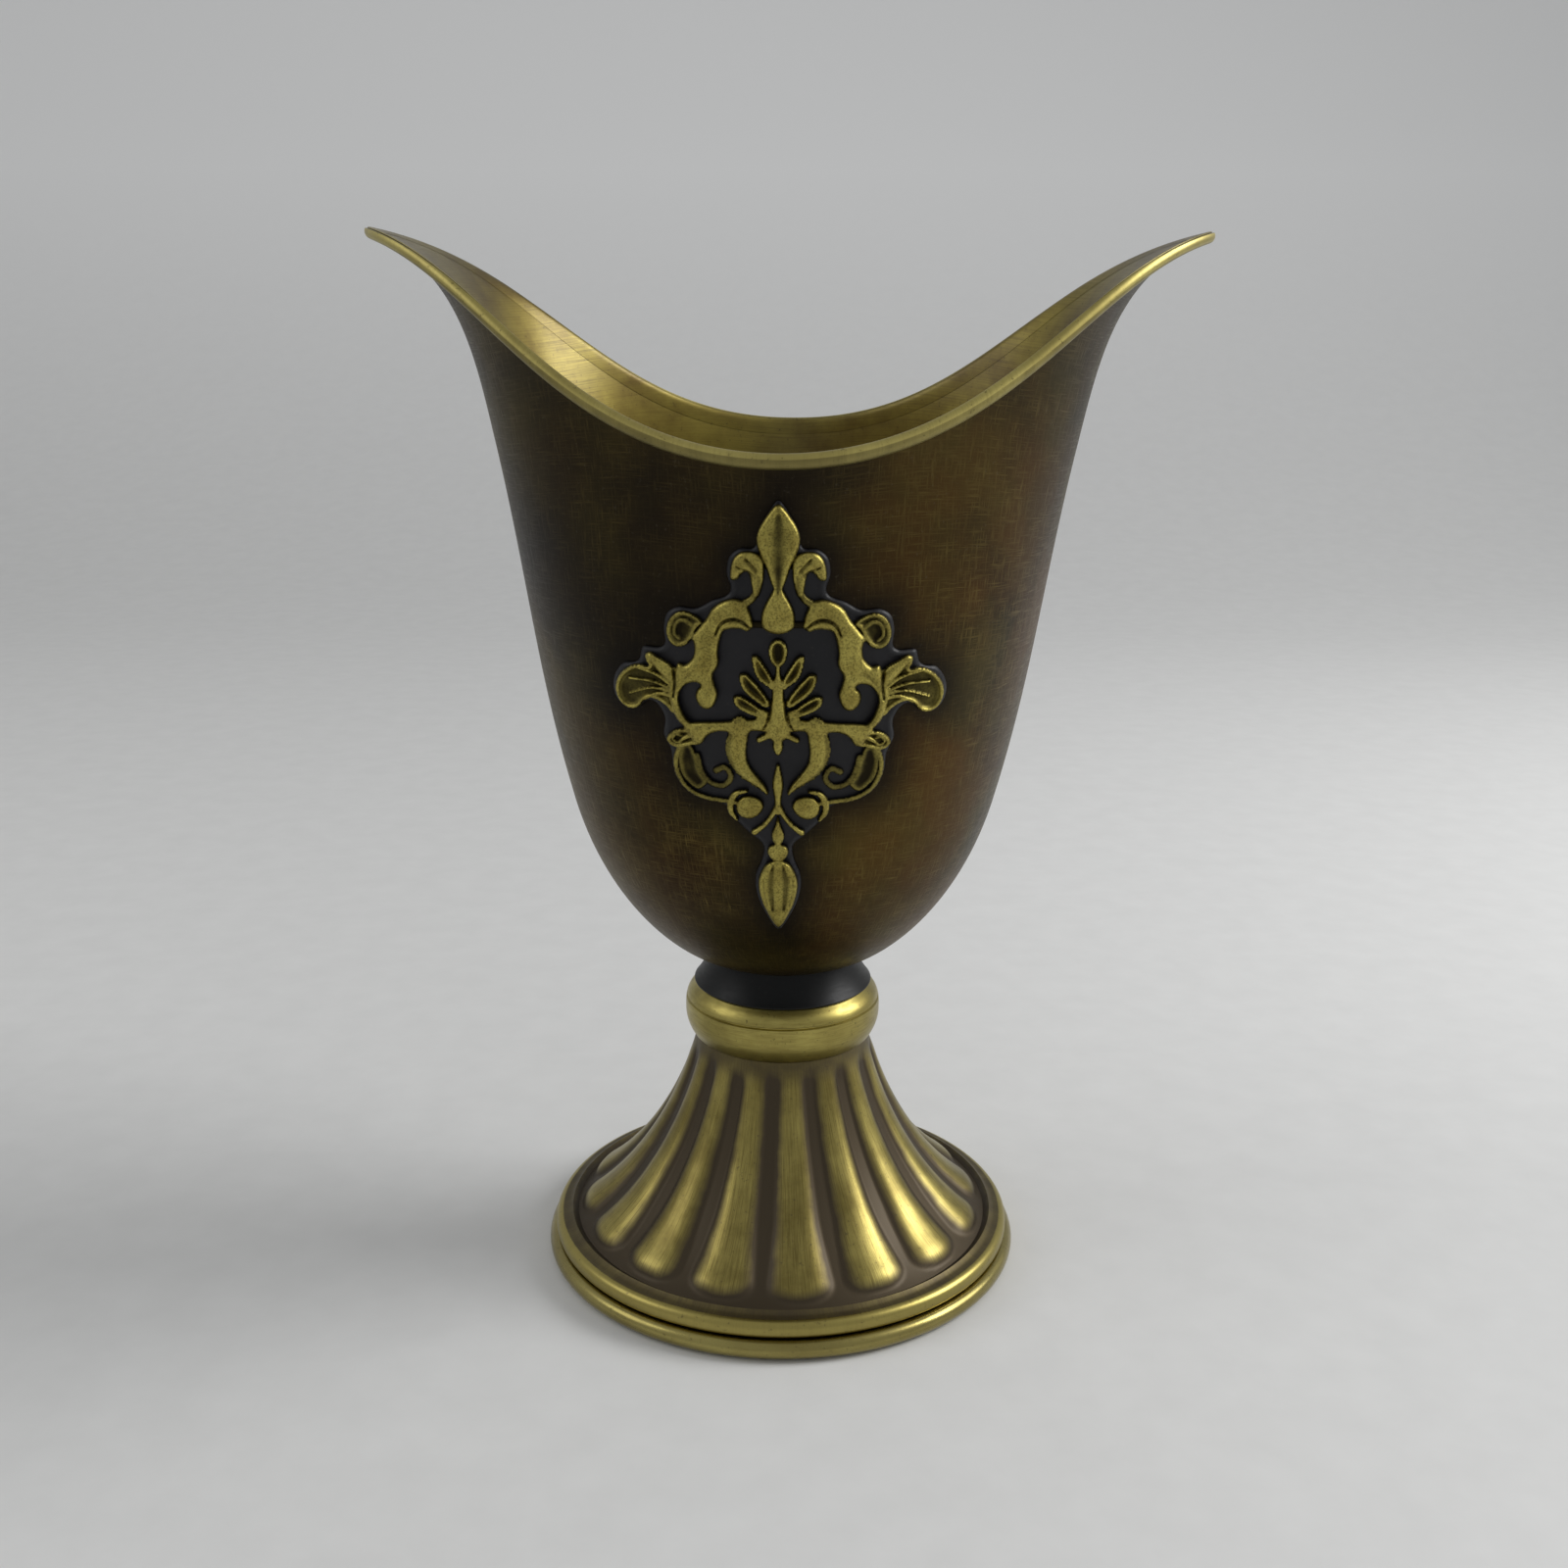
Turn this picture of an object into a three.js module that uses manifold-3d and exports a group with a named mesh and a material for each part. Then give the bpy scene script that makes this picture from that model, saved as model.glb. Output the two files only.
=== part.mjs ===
// A pedestal vase in antiqued brass: a spun cup with a boat-shaped mouth, an openwork medallion on its front
// and a fluted trumpet foot. Millimetres, +Z up, origin on the floor under the centre, medallion facing -Y.
import * as THREE from 'three';
import { mergeVertices } from 'three/addons/utils/BufferGeometryUtils.js';
import Module from 'manifold-3d';

const wasm = await Module();
wasm.setup();

// Fits
const clearance = 0.3; // left between two pieces that touch

// Foot, from the floor up
const feltInner = 65.6;
const feltOuter = 69.6;
const feltThickness = 1.4;
const feltShowing = 0.4; // how far the felt stands out under the ring
const ringOuter = 72.4;
const ringTop = 6.0;
const ringBore = 63.0;
const registerRadius = 65.9; // the ring's step that centres the foot
const registerHeight = 2.2;
const beadOuter = 70.3; // the foot's own rolled edge, above the ring
const beadTop = 11.4;
const footWall = 2.2;
const fluteCount = 16;
const fluteTurn = THREE.MathUtils.degToRad(-90 + 6.9); // plan angle of one flute's crest
const fluteDepthLow = 2.6; // relief of a flute where it is widest
const fluteDepthHigh = 1.1; // and just below the collar
const fluteNose = 6.5; // length of a flute's rounded lower end
const fluteTip = 5.0; // length of its rounded upper end
const footTop = 85.9;
const footSpigot = 23.5;
const footRoof = 3.0;

// Collar and neck
const shoulder = 69.5; // where the fluted part stops and the collar stands
const collarBulge = 29.4;
const neckFoot = 26.7;
const neckTop = 22.2;
const neckHeight = 8.9;

// Cup
const sheet = 1.5;
const cupFloorRadius = 22.3;
const drawnFrom = 190.0; // the cup is round below this and drawn to its mouth above
const mouthDepth = 79.4; // half the mouth, front to back
const mouthReach = 113.2; // half the mouth, tip to tip
const rimLow = 246.5;
const rimTip = 301.2;
const beadRadius = 2.1;

// Medallion
const groundThickness = 0.9;
const ornamentThickness = 2.0;

// Bolt through the floor of the cup
const boltRadius = 4.0;
const boltHole = 4.5;
const headFlats = 13.0;
const headHeight = 5.3;
const boltLength = 34.0;
const nutHeight = 6.5;

// Heights that follow from the stack of pieces
const footSeat = ringTop + clearance;
const collarSeat = shoulder + clearance;
const neckSeat = footTop + clearance;
const cupSeat = neckSeat + neckHeight + clearance;
const roofUnderside = footTop - footRoof;

// Smoothness: columns round the cup and the foot, and sides on the turned rings
const cupColumns = 52;
const columnsPerFlute = 4;
const ringSides = 36;
const smallSides = 18;

// Curves
const footCurve = new THREE.CubicBezierCurve(
  new THREE.Vector2(64.4, 13.3), new THREE.Vector2(48.9, 21.5),
  new THREE.Vector2(32.6, 42.8), new THREE.Vector2(26.5, shoulder));

const bowlCurve = new THREE.CubicBezierCurve(
  new THREE.Vector2(cupFloorRadius, cupSeat), new THREE.Vector2(36.1, 99.0),
  new THREE.Vector2(54.8, 118.1), new THREE.Vector2(62.0, 148.2));
const wallCurve = new THREE.CubicBezierCurve(
  new THREE.Vector2(62.0, 148.2), new THREE.Vector2(71.2, 183.3),
  new THREE.Vector2(73.4, 212.6), new THREE.Vector2(79.9, 246.1));
const lipCurve = new THREE.CubicBezierCurve(
  new THREE.Vector2(79.9, 246.1), new THREE.Vector2(84.6, 270.4),
  new THREE.Vector2(87.9, 293.3), new THREE.Vector2(mouthReach, rimTip));

// The rim seen from the front, as height against distance from the centre, and a quarter of it seen from above
const rimElevation = new THREE.CubicBezierCurve(
  new THREE.Vector2(0, rimLow), new THREE.Vector2(58.4, rimLow),
  new THREE.Vector2(74.4, 292.3), new THREE.Vector2(mouthReach + 1.8, rimTip));
const rimPlan = new THREE.CubicBezierCurve(
  new THREE.Vector2(0, mouthDepth), new THREE.Vector2(31, mouthDepth),
  new THREE.Vector2(mouthReach, 28), new THREE.Vector2(mouthReach, 0));

// Reads a curve the other way: the value of one coordinate where the other has a given value.
function lookUp(samples, key, value, result) {
  const rising = samples[samples.length - 1][key] > samples[0][key];
  let k = 1;
  while (k < samples.length - 1 && (rising ? samples[k][key] < value : samples[k][key] > value)) k += 1;
  const [a, b] = [samples[k - 1], samples[k]];
  const t = THREE.MathUtils.clamp((value - a[key]) / (b[key] - a[key]), 0, 1);
  return a[result] + t * (b[result] - a[result]);
}

const cupSamples = [bowlCurve, wallCurve, lipCurve].flatMap((c) => c.getPoints(60));
const rimHeights = rimElevation.getPoints(120);
const rimReaches = rimPlan.getPoints(120).map((p) => ({ angle: Math.atan2(p.y, p.x), reach: p.length() }));

const cupRadius = (z) => lookUp(cupSamples, 'y', z, 'x');
const rimReach = (angle) => {
  const quarter = Math.atan2(Math.abs(Math.sin(angle)), Math.abs(Math.cos(angle)));
  return lookUp(rimReaches, 'angle', quarter, 'reach');
};
const rimHeight = (angle) => lookUp(rimHeights, 'x', Math.abs(rimReach(angle) * Math.cos(angle)), 'y');

// Radius of the cup's outside in one plan direction: round low down, drawn to the mouth's outline at the rim.
function cupReach(angle, z) {
  const top = rimHeight(angle);
  const rise = THREE.MathUtils.clamp((z - drawnFrom) / (top - drawnFrom), 0, 1);
  const draw = rimReach(angle) / cupRadius(top) - 1;
  return cupRadius(z) * (1 + draw * THREE.MathUtils.smoothstep(rise, 0, 1));
}

// A point set off from the cup's outside, outward if the offset is positive.
function cupPoint(angle, z, offset) {
  const step = 0.2;
  const slope = (cupReach(angle, z + step) - cupReach(angle, z - step)) / (2 * step);
  const size = Math.hypot(1, slope);
  const r = cupReach(angle, z) + offset / size;
  return new THREE.Vector3(r * Math.cos(angle), r * Math.sin(angle), z - (offset * slope) / size);
}

// Heights of the cup's rows, shared by the cup and what is laid on it.
const levelTop = 240.0; // rows are level up to here and rise with the rim above
const bowlHeights = bowlCurve.getPoints(6).map((p) => p.y);
const wallHeights = [1, 2, 3].map((k) => THREE.MathUtils.lerp(148.2, levelTop, k / 3));
const roundHeights = [...bowlHeights, ...wallHeights];

// Solids

function toSolid(geometry) {
  const bare = geometry.clone();
  bare.deleteAttribute('normal');
  bare.deleteAttribute('uv');
  const merged = mergeVertices(bare, 1e-4);
  return new wasm.Manifold(new wasm.Mesh({
    numProp: 3,
    vertProperties: new Float32Array(merged.attributes.position.array),
    triVerts: new Uint32Array(merged.index.array),
  }));
}

function toGeometry(body) {
  const mesh = body.getMesh();
  const geometry = new THREE.BufferGeometry();
  geometry.setAttribute('position', new THREE.BufferAttribute(new Float32Array(mesh.vertProperties), 3));
  geometry.setIndex(new THREE.BufferAttribute(new Uint32Array(mesh.triVerts), 1));
  geometry.computeVertexNormals();
  return geometry;
}

// A closed ring from closed sections, one at each station round the axis, every section's points taken
// anticlockwise with the outward direction to the right.
function ringOf(sections) {
  const size = sections[0].length;
  const index = [];
  sections.forEach((_, i) => {
    const next = (i + 1) % sections.length;
    for (let j = 0; j < size; j += 1) {
      const up = (j + 1) % size;
      const [a, b, c, d] = [i * size + j, i * size + up, next * size + up, next * size + j];
      index.push(a, d, c, a, c, b);
    }
  });
  const geometry = new THREE.BufferGeometry();
  geometry.setAttribute('position', new THREE.Float32BufferAttribute(
    sections.flat().flatMap((p) => [p.x, p.y, p.z]), 3));
  geometry.setIndex(index);
  geometry.computeVertexNormals();
  return geometry;
}

// The same for a plain turned ring: one section of [radius, height] pairs, anticlockwise.
function turned(profile, sides) {
  return ringOf(Array.from({ length: sides }, (_, i) => {
    const angle = (2 * Math.PI * i) / sides;
    return profile.map(([r, z]) => new THREE.Vector3(r * Math.cos(angle), r * Math.sin(angle), z));
  }));
}

const washer = (inner, outer, low, high, sides) =>
  turned([[inner, low], [outer, low], [outer, high], [inner, high]], sides);

// Points on an arc, centre, radius and two angles in degrees.
function arc(cx, cy, radius, from, to, steps) {
  return Array.from({ length: steps + 1 }, (_, k) => {
    const a = THREE.MathUtils.degToRad(THREE.MathUtils.lerp(from, to, k / steps));
    return [cx + radius * Math.cos(a), cy + radius * Math.sin(a)];
  });
}

// Cup: spun sheet with a flat floor, drilled for the bolt, trimmed to the rising and falling rim.
// Its columns stand closer towards the two pointed ends of the mouth.
const cupAngles = Array.from({ length: cupColumns }, (_, i) => {
  const turn = (2 * Math.PI * i) / cupColumns;
  return turn - 0.2 * Math.sin(2 * turn);
});

// The top rows crowd towards the rim, where the lip turns over.
function lipHeights(angle) {
  return [1, 2, 3, 4, 5, 6].map((k) =>
    THREE.MathUtils.lerp(levelTop, rimHeight(angle), 1 - (1 - k / 6) ** 1.7));
}

function cupShell() {
  return ringOf(cupAngles.map((angle) => {
    const heights = [...roundHeights, ...lipHeights(angle)];
    const at = (r, z) => new THREE.Vector3(r * Math.cos(angle), r * Math.sin(angle), z);
    const outside = heights.map((z) => cupPoint(angle, z, 0));
    const inside = heights.slice(1).map((z) => cupPoint(angle, z, -sheet)).reverse();
    const floor = [at(cupFloorRadius - 0.9, cupSeat + sheet), at(boltHole, cupSeat + sheet)];
    return [at(boltHole, cupSeat), ...outside, ...inside, ...floor];
  }));
}

// Rim bead: round binding, slotted to go over the edge of the sheet.
function rimBead() {
  const edge = cupAngles.map((angle) => cupPoint(angle, rimHeight(angle), -sheet / 2));
  const below = cupAngles.map((angle) => cupPoint(angle, rimHeight(angle) - 1.5, -sheet / 2));
  const slot = sheet / 2 + clearance;
  const lip = Math.acos(slot / beadRadius);
  const outline = [];
  const turn = Math.PI + 2 * lip;
  for (let k = 0; k <= 8; k += 1) {
    const a = lip - (turn * k) / 8;
    outline.push([beadRadius * Math.cos(a), beadRadius * Math.sin(a)]);
  }
  outline.push([-slot, -clearance], [slot, -clearance]);
  return ringOf(edge.map((centre, i) => {
    const before = edge[(i + cupColumns - 1) % cupColumns];
    const after = edge[(i + 1) % cupColumns];
    const along = after.clone().sub(before).normalize();
    const down = below[i].clone().sub(centre);
    down.addScaledVector(along, -down.dot(along)).normalize();
    const outward = new THREE.Vector3().crossVectors(down, along).normalize();
    return outline.map(([a, b]) => centre.clone().addScaledVector(outward, a).addScaledVector(down, b));
  }));
}

// Medallion: flat outlines, drawn on the right half, pushed through a thin layer that follows the cup.
// Each point is [distance from the centre line, height].

const mirrored = (points) => points.map(([x, z, w]) => [-x, z, w]);

// A smooth closed outline through its points.
function blob(points) {
  const curve = new THREE.CatmullRomCurve3(
    points.map(([x, z]) => new THREE.Vector3(x, z, 0)), true, 'centripetal');
  return new THREE.Shape(curve.getPoints(Math.round(points.length * 1.4)).slice(0, -1).map((p) => new THREE.Vector2(p.x, p.y)));
}

// A smooth outline that is its own mirror image, given from its top point down to its bottom point.
function leaf(points) {
  const back = mirrored(points.slice(1, -1)).reverse();
  return blob([...points, ...back]);
}

// A stem that swells and tapers, each point with the width it has there.
function stem(points) {
  const curve = new THREE.CatmullRomCurve3(
    points.map(([x, z, w]) => new THREE.Vector3(x, z, w)), false, 'centripetal');
  const run = curve.getPoints(Math.round((points.length - 1) * 1.5));
  const sides = run.map((p, k) => {
    const along = run[Math.min(k + 1, run.length - 1)].clone().sub(run[Math.max(k - 1, 0)]);
    const across = new THREE.Vector2(-along.y, along.x).setLength(p.z / 2);
    return [new THREE.Vector2(p.x, p.y).add(across), new THREE.Vector2(p.x, p.y).sub(across)];
  });
  return new THREE.Shape([...sides.map((s) => s[0]), ...sides.map((s) => s[1]).reverse()]);
}

function extrudeFront(shape) {
  const body = new THREE.ExtrudeGeometry(shape, { depth: 100, bevelEnabled: false, curveSegments: 1 });
  body.rotateX(Math.PI / 2);
  return toSolid(body);
}

// A layer over the front of the cup between two offsets from it.
function frontLayer(low, high) {
  const columns = cupAngles.filter((a) => Math.abs(a - 1.5 * Math.PI) < 0.75);
  const rows = roundHeights.slice(2);
  const faces = [low, high].map((offset) => columns.map((a) => rows.map((z) => cupPoint(a, z, offset))));
  const points = faces.flat(2);
  const at = (face, i, j) => (face * columns.length + i) * rows.length + j;
  const index = [];
  const quad = (a, b, c, d) => index.push(a, b, c, a, c, d);
  const [m, n] = [columns.length - 1, rows.length - 1];
  for (let i = 0; i < m; i += 1) {
    for (let j = 0; j < n; j += 1) {
      quad(at(1, i, j), at(1, i + 1, j), at(1, i + 1, j + 1), at(1, i, j + 1));
      quad(at(0, i, j), at(0, i, j + 1), at(0, i + 1, j + 1), at(0, i + 1, j));
    }
    quad(at(0, i, 0), at(0, i + 1, 0), at(1, i + 1, 0), at(1, i, 0));
    quad(at(1, i, n), at(1, i + 1, n), at(0, i + 1, n), at(0, i, n));
  }
  for (let j = 0; j < n; j += 1) {
    quad(at(0, 0, j), at(1, 0, j), at(1, 0, j + 1), at(0, 0, j + 1));
    quad(at(1, m, j), at(0, m, j), at(0, m, j + 1), at(1, m, j + 1));
  }
  const layer = new THREE.BufferGeometry();
  layer.setAttribute('position', new THREE.Float32BufferAttribute(points.flatMap((p) => [p.x, p.y, p.z]), 3));
  layer.setIndex(index);
  return toSolid(layer);
}

// Elements of the ornament on the centre line, top to bottom.
const centreLeaves = {
  finial: [[0, 236.9], [2.7, 233.8], [4.6, 229.5], [4.3, 225.9], [2.9, 222.1], [2.4, 217.6], [0, 214.6]],
  drop: [[0, 217.2], [2.5, 213.5], [3.9, 209.6], [3.6, 206.4], [0, 204.9]],
  tear: [[0, 158.0], [1.1, 154.5], [1.9, 150.5], [1.4, 148.3], [0, 146.9]],
  knop: [[0, 148.2], [2.2, 147.4], [2.8, 145.8], [2.2, 144.2], [0, 142.4]],
  pendant: [[0, 143.4], [2.9, 142.2], [5.0, 137.9], [5.1, 133.9], [3.5, 127.8], [0, 121.7]],
};
const centreStems = {
  topLeaflet: [[0, 203.1, 1.0], [0, 198.5, 3.6], [0, 193.0, 2.0]],
  palmetteStem: [[0, 196.0, 1.6], [0, 190.0, 2.6], [0, 184.0, 4.2], [0, 180.0, 9.0], [0, 176.6, 6.0], [0, 174.0, 1.6]],
  lowerStem: [[0, 169.0, 1.0], [0, 163.4, 2.4], [0, 157.5, 2.8]],
};

// Elements that come in pairs, given on one side.
const sideLeaves = {
  hook: [[4.9, 214.7], [3.0, 217.6], [3.0, 221.5], [5.4, 225.0], [9.1, 224.9], [11.4, 222.7],
    [11.9, 219.8], [10.8, 218.1], [9.4, 219.8], [7.9, 220.6], [6.9, 218.9], [6.8, 215.2]],
  acanthus: [[26.1, 193.4], [27.8, 196.3], [31.0, 198.2], [33.8, 198.7], [34.3, 196.9], [33.3, 194.8],
    [37.6, 194.5], [40.6, 192.0], [41.9, 188.3], [40.9, 185.5], [38.6, 183.4], [36.2, 184.1],
    [34.0, 186.3], [31.4, 186.9], [28.9, 185.6], [27.0, 184.0], [25.6, 188.0]],
  sideLeaf: [[28.4, 175.9], [27.1, 178.2], [24.7, 178.9], [22.5, 178.8], [19.6, 179.8], [19.8, 175.4],
    [23.3, 174.9], [25.6, 174.0], [27.7, 174.4]],
  oval: arc(8.2, 159.1, 1, 0, 315, 7).map(([x, z]) => [8.2 + (x - 8.2) * 4.2, 159.1 + (z - 159.1) * 3.3]),
};
const sideStems = {
  band: [[5.0, 206.6, 1.6], [7.2, 208.2, 4.6], [9.6, 209.4, 6.6], [12.8, 209.4, 7.2], [16.0, 207.4, 7.2],
    [17.8, 203.5, 6.4], [18.3, 199.7, 6.2], [18.2, 195.4, 6.4]],
  neckTie: [[5.2, 215.4, 2.4], [6.4, 213.6, 1.8], [8.2, 212.4, 2.2]],
  dropTie: [[2.6, 206.8, 2.0], [6.2, 206.8, 2.0]],
  volute: [[18.2, 197.0, 5.6], [17.7, 192.1, 4.6], [17.7, 188.8, 5.0], [18.3, 186.0, 2.2]],
  arch: [[18.6, 194.3, 4.6], [22.9, 194.3, 4.4], [25.6, 192.3, 4.0], [27.0, 189.3, 3.4], [26.8, 186.0, 3.2],
    [25.6, 182.9, 3.2], [23.0, 180.6, 2.6], [19.4, 180.2, 2.4]],
  ring: [[17.0, 207.7, 1.4], [21.3, 209.6, 1.2], [24.4, 209.7, 1.2], [26.9, 208.2, 1.3], [27.8, 205.1, 1.3],
    [27.0, 202.4, 1.3], [24.9, 201.2, 1.4], [22.9, 203.0, 1.8], [22.9, 205.4, 2.2]],
  bar: [[22.0, 180.1, 1.8], [17.5, 180.2, 2.8], [12.0, 181.0, 2.6], [6.0, 181.0, 3.2], [0.5, 180.6, 3.6]],
  block: [[19.6, 180.6, 3.4], [19.8, 175.4, 2.2]],
  arm: [[9.4, 181.6, 5.2], [11.0, 177.5, 4.4], [11.0, 173.7, 4.2], [10.1, 170.3, 3.8], [8.1, 167.6, 3.2],
    [5.4, 165.0, 2.4], [3.1, 162.4, 1.8], [0.8, 160.0, 1.6]],
  leafHigh: [[6.5, 198.9, 0.8], [4.6, 195.4, 2.6], [1.0, 189.0, 1.6]],
  leafMiddle: [[9.7, 194.3, 0.8], [6.8, 191.4, 2.8], [1.2, 186.4, 1.8]],
  leafLow: [[11.2, 188.4, 0.8], [7.8, 186.9, 2.6], [1.6, 183.4, 2.0]],
  footLobe: [[1.0, 179.2, 2.4], [4.8, 177.7, 1.6]],
  scroll: [[24.9, 175.4, 1.6], [26.3, 170.7, 1.3], [25.6, 166.5, 1.3], [23.2, 162.8, 1.3], [18.9, 160.6, 1.4],
    [14.4, 159.9, 1.4], [10.8, 159.4, 1.4]],
  curl: [[20.0, 176.0, 1.8], [20.8, 171.5, 1.6], [19.7, 167.5, 1.6], [17.5, 164.9, 1.6], [14.4, 164.5, 1.6],
    [12.4, 166.9, 1.6], [13.8, 169.1, 1.6], [16.3, 168.3, 1.8]],
  fork: [[0.4, 159.8, 2.4], [2.9, 155.5, 2.2], [6.3, 151.3, 1.6]],
};

const groundOutline = [[0, 238.6], [3.6, 234.5], [6.0, 229.5], [6.4, 226.9], [9.5, 226.7], [12.6, 224.2],
  [13.5, 219.7], [12.6, 215.4], [16.6, 213.5], [20.4, 211.4], [25.2, 211.4], [28.4, 209.3], [29.5, 205.0],
  [29.4, 201.0], [34.8, 200.3], [36.3, 196.4], [40.0, 195.4], [42.8, 191.9], [43.6, 187.8], [42.4, 184.0],
  [39.2, 181.7], [35.6, 182.3], [32.5, 184.7], [29.9, 181.6], [30.2, 176.6], [28.4, 172.3], [27.9, 167.4],
  [25.3, 162.0], [19.6, 158.9], [14.0, 157.6], [11.6, 153.9], [7.7, 149.8], [4.7, 147.0], [5.0, 143.4],
  [6.7, 138.6], [6.7, 133.2], [4.7, 126.5], [0, 119.0]];

function medallionGround() {
  return toGeometry(extrudeFront(leaf(groundOutline)).intersect(frontLayer(clearance, clearance + groundThickness)));
}

function medallionOrnament() {
  const shapes = [
    ...Object.values(centreLeaves).map(leaf),
    ...Object.values(centreStems).map(stem),
    ...Object.values(sideLeaves).flatMap((p) => [blob(p), blob(mirrored(p))]),
    ...Object.values(sideStems).flatMap((p) => [stem(p), stem(mirrored(p))]),
  ];
  const low = 2 * clearance + groundThickness;
  const outline = shapes.map(extrudeFront).reduce((sum, body) => sum.add(body));
  return toGeometry(outline.intersect(frontLayer(low, low + ornamentThickness)));
}

// Foot: cast trumpet with raised flutes, a rolled edge below, a spigot for the collar above, hollow beneath.

// Share of the full relief at a place on a flute: u runs across it from -1 to 1, the ends are rounded.
function fluteRelief(u, fromLow, fromHigh) {
  const low = Math.max(0, 1 - fromLow / fluteNose);
  const high = Math.max(0, 1 - fromHigh / fluteTip);
  return Math.sqrt(Math.max(0, 1 - u * u - low * low - high * high));
}

function footShell() {
  const stations = [0, 0.04, 0.09, 0.16, 0.28, 0.42, 0.58, 0.74, 0.87, 0.95, 1];
  const total = footCurve.getLength();
  const rows = stations.map((t) => {
    const point = footCurve.getPoint(t);
    const along = footCurve.getTangent(t);
    const length = total * t ** 0.92;
    return { point, normal: new THREE.Vector2(along.y, -along.x), low: length - 1.5, high: total - length - 1.5,
      depth: THREE.MathUtils.lerp(fluteDepthLow, fluteDepthHigh, t) };
  });
  const surface = (row, inward) => row.point.clone().addScaledVector(row.normal, -inward);
  const edge = arc(beadOuter - 2.5, (footSeat + beadTop) / 2, 2.5, -75, 82, 4);
  const roof = roofUnderside;
  const inner = [7, 5, 3, 2, 0].map((k) => surface(rows[k], rows[k].depth + footWall));
  const well = footSpigot - footWall;
  const columns = fluteCount * columnsPerFlute;
  return ringOf(Array.from({ length: columns }, (_, i) => {
    const angle = fluteTurn + (2 * Math.PI * i) / columns - Math.PI / fluteCount;
    const u = (2 * (i % columnsPerFlute)) / columnsPerFlute - 1;
    const at = (r, z) => new THREE.Vector3(r * Math.cos(angle), r * Math.sin(angle), z);
    const flutes = rows.map((row) => {
      const p = surface(row, row.depth * (1 - fluteRelief(u, row.low, row.high)));
      return at(p.x, p.y);
    });
    return [
      at(registerRadius + clearance, footSeat), ...edge.map(([r, z]) => at(r, z)), at(66.4, 11.7), ...flutes,
      at(footSpigot, shoulder), at(footSpigot, footTop), at(boltHole, footTop), at(boltHole, roof),
      at(well, roof), at(well, 66), ...inner.map((p) => at(p.x, p.y)),
      at(registerRadius + clearance, 9.4),
    ];
  }));
}

// Collar: turned ring, swelling in the middle, with one fine line round its upper part.
function collarRing() {
  const bore = footSpigot + clearance;
  const top = footTop;
  const half = (top - collarSeat) / 2;
  const middle = collarSeat + half - 0.5;
  const swell = (z) => collarBulge - 2.9 * ((z - middle) / half) ** 2;
  const line = 81.2;
  const heights = [collarSeat, 71.6, 74.2, middle, 79.2, line - 0.5];
  const outside = heights.map((z) => [swell(z), z]);
  return turned([[bore, collarSeat], ...outside, [swell(line) - 0.5, line], [swell(line + 0.5), line + 0.5],
    [swell(83.8), 83.8], [swell(top), top], [bore, top]], ringSides);
}

// Neck: dark waisted spacer between the collar and the cup.
function neckSpacer() {
  const top = neckSeat + neckHeight;
  const waist = new THREE.QuadraticBezierCurve(new THREE.Vector2(neckFoot, neckSeat + 0.4),
    new THREE.Vector2(23.9, 90.0), new THREE.Vector2(neckTop, top));
  return turned([[boltHole, neckSeat], [neckFoot, neckSeat], ...waist.getPoints(4).map((p) => [p.x, p.y]),
    [boltHole, top]], ringSides);
}

// Base ring: half-round outside, stepped inside to centre the foot, recessed below for the felt.
function baseRing() {
  const recess = feltThickness + clearance;
  const round = (ringTop - feltShowing) / 2;
  return turned([
    [ringBore, feltShowing], [feltInner - clearance, feltShowing], [feltInner - clearance, recess],
    [feltOuter + clearance, recess], [feltOuter + clearance, feltShowing],
    ...arc(ringOuter - round, feltShowing + round, round, -80, 90, 5),
    [registerRadius, ringTop], [registerRadius, ringTop + registerHeight], [ringBore, ringTop + registerHeight],
  ], ringSides);
}

// Fasteners

function hexagon(flats) {
  const r = flats / Math.sqrt(3);
  return new THREE.Shape(arc(0, 0, r, 0, 300, 5).map(([x, y]) => new THREE.Vector2(x, y)));
}

function cupBolt(seat) {
  const head = new THREE.ExtrudeGeometry(hexagon(headFlats), { depth: headHeight, bevelEnabled: false });
  head.translate(0, 0, seat);
  const profile = [[0, -boltLength], [boltRadius - 1, -boltLength], [boltRadius, -boltLength + 1],
    [boltRadius, 1], [0, 1]].map(([r, z]) => new THREE.Vector2(r, z));
  const shank = new THREE.LatheGeometry(profile, smallSides);
  shank.rotateX(Math.PI / 2);
  shank.translate(0, 0, seat);
  return toGeometry(toSolid(head).add(toSolid(shank)));
}

function hexNut(low) {
  const shape = hexagon(headFlats);
  shape.holes.push(new THREE.Path(
    arc(0, 0, boltRadius + clearance, 0, 345, 23).map(([x, y]) => new THREE.Vector2(x, y))));
  const nut = new THREE.ExtrudeGeometry(shape, { depth: nutHeight, bevelEnabled: false });
  nut.translate(0, 0, low);
  return nut;
}

function splitWasher(inner, outer, low, thickness) {
  const ring = [...arc(0, 0, outer, 8, 352, 22), ...arc(0, 0, inner, 352, 8, 22)];
  const shape = new THREE.Shape(ring.map(([x, y]) => new THREE.Vector2(x, y)));
  const body = new THREE.ExtrudeGeometry(shape, { depth: thickness, bevelEnabled: false });
  body.translate(0, 0, low);
  return body;
}

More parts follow.
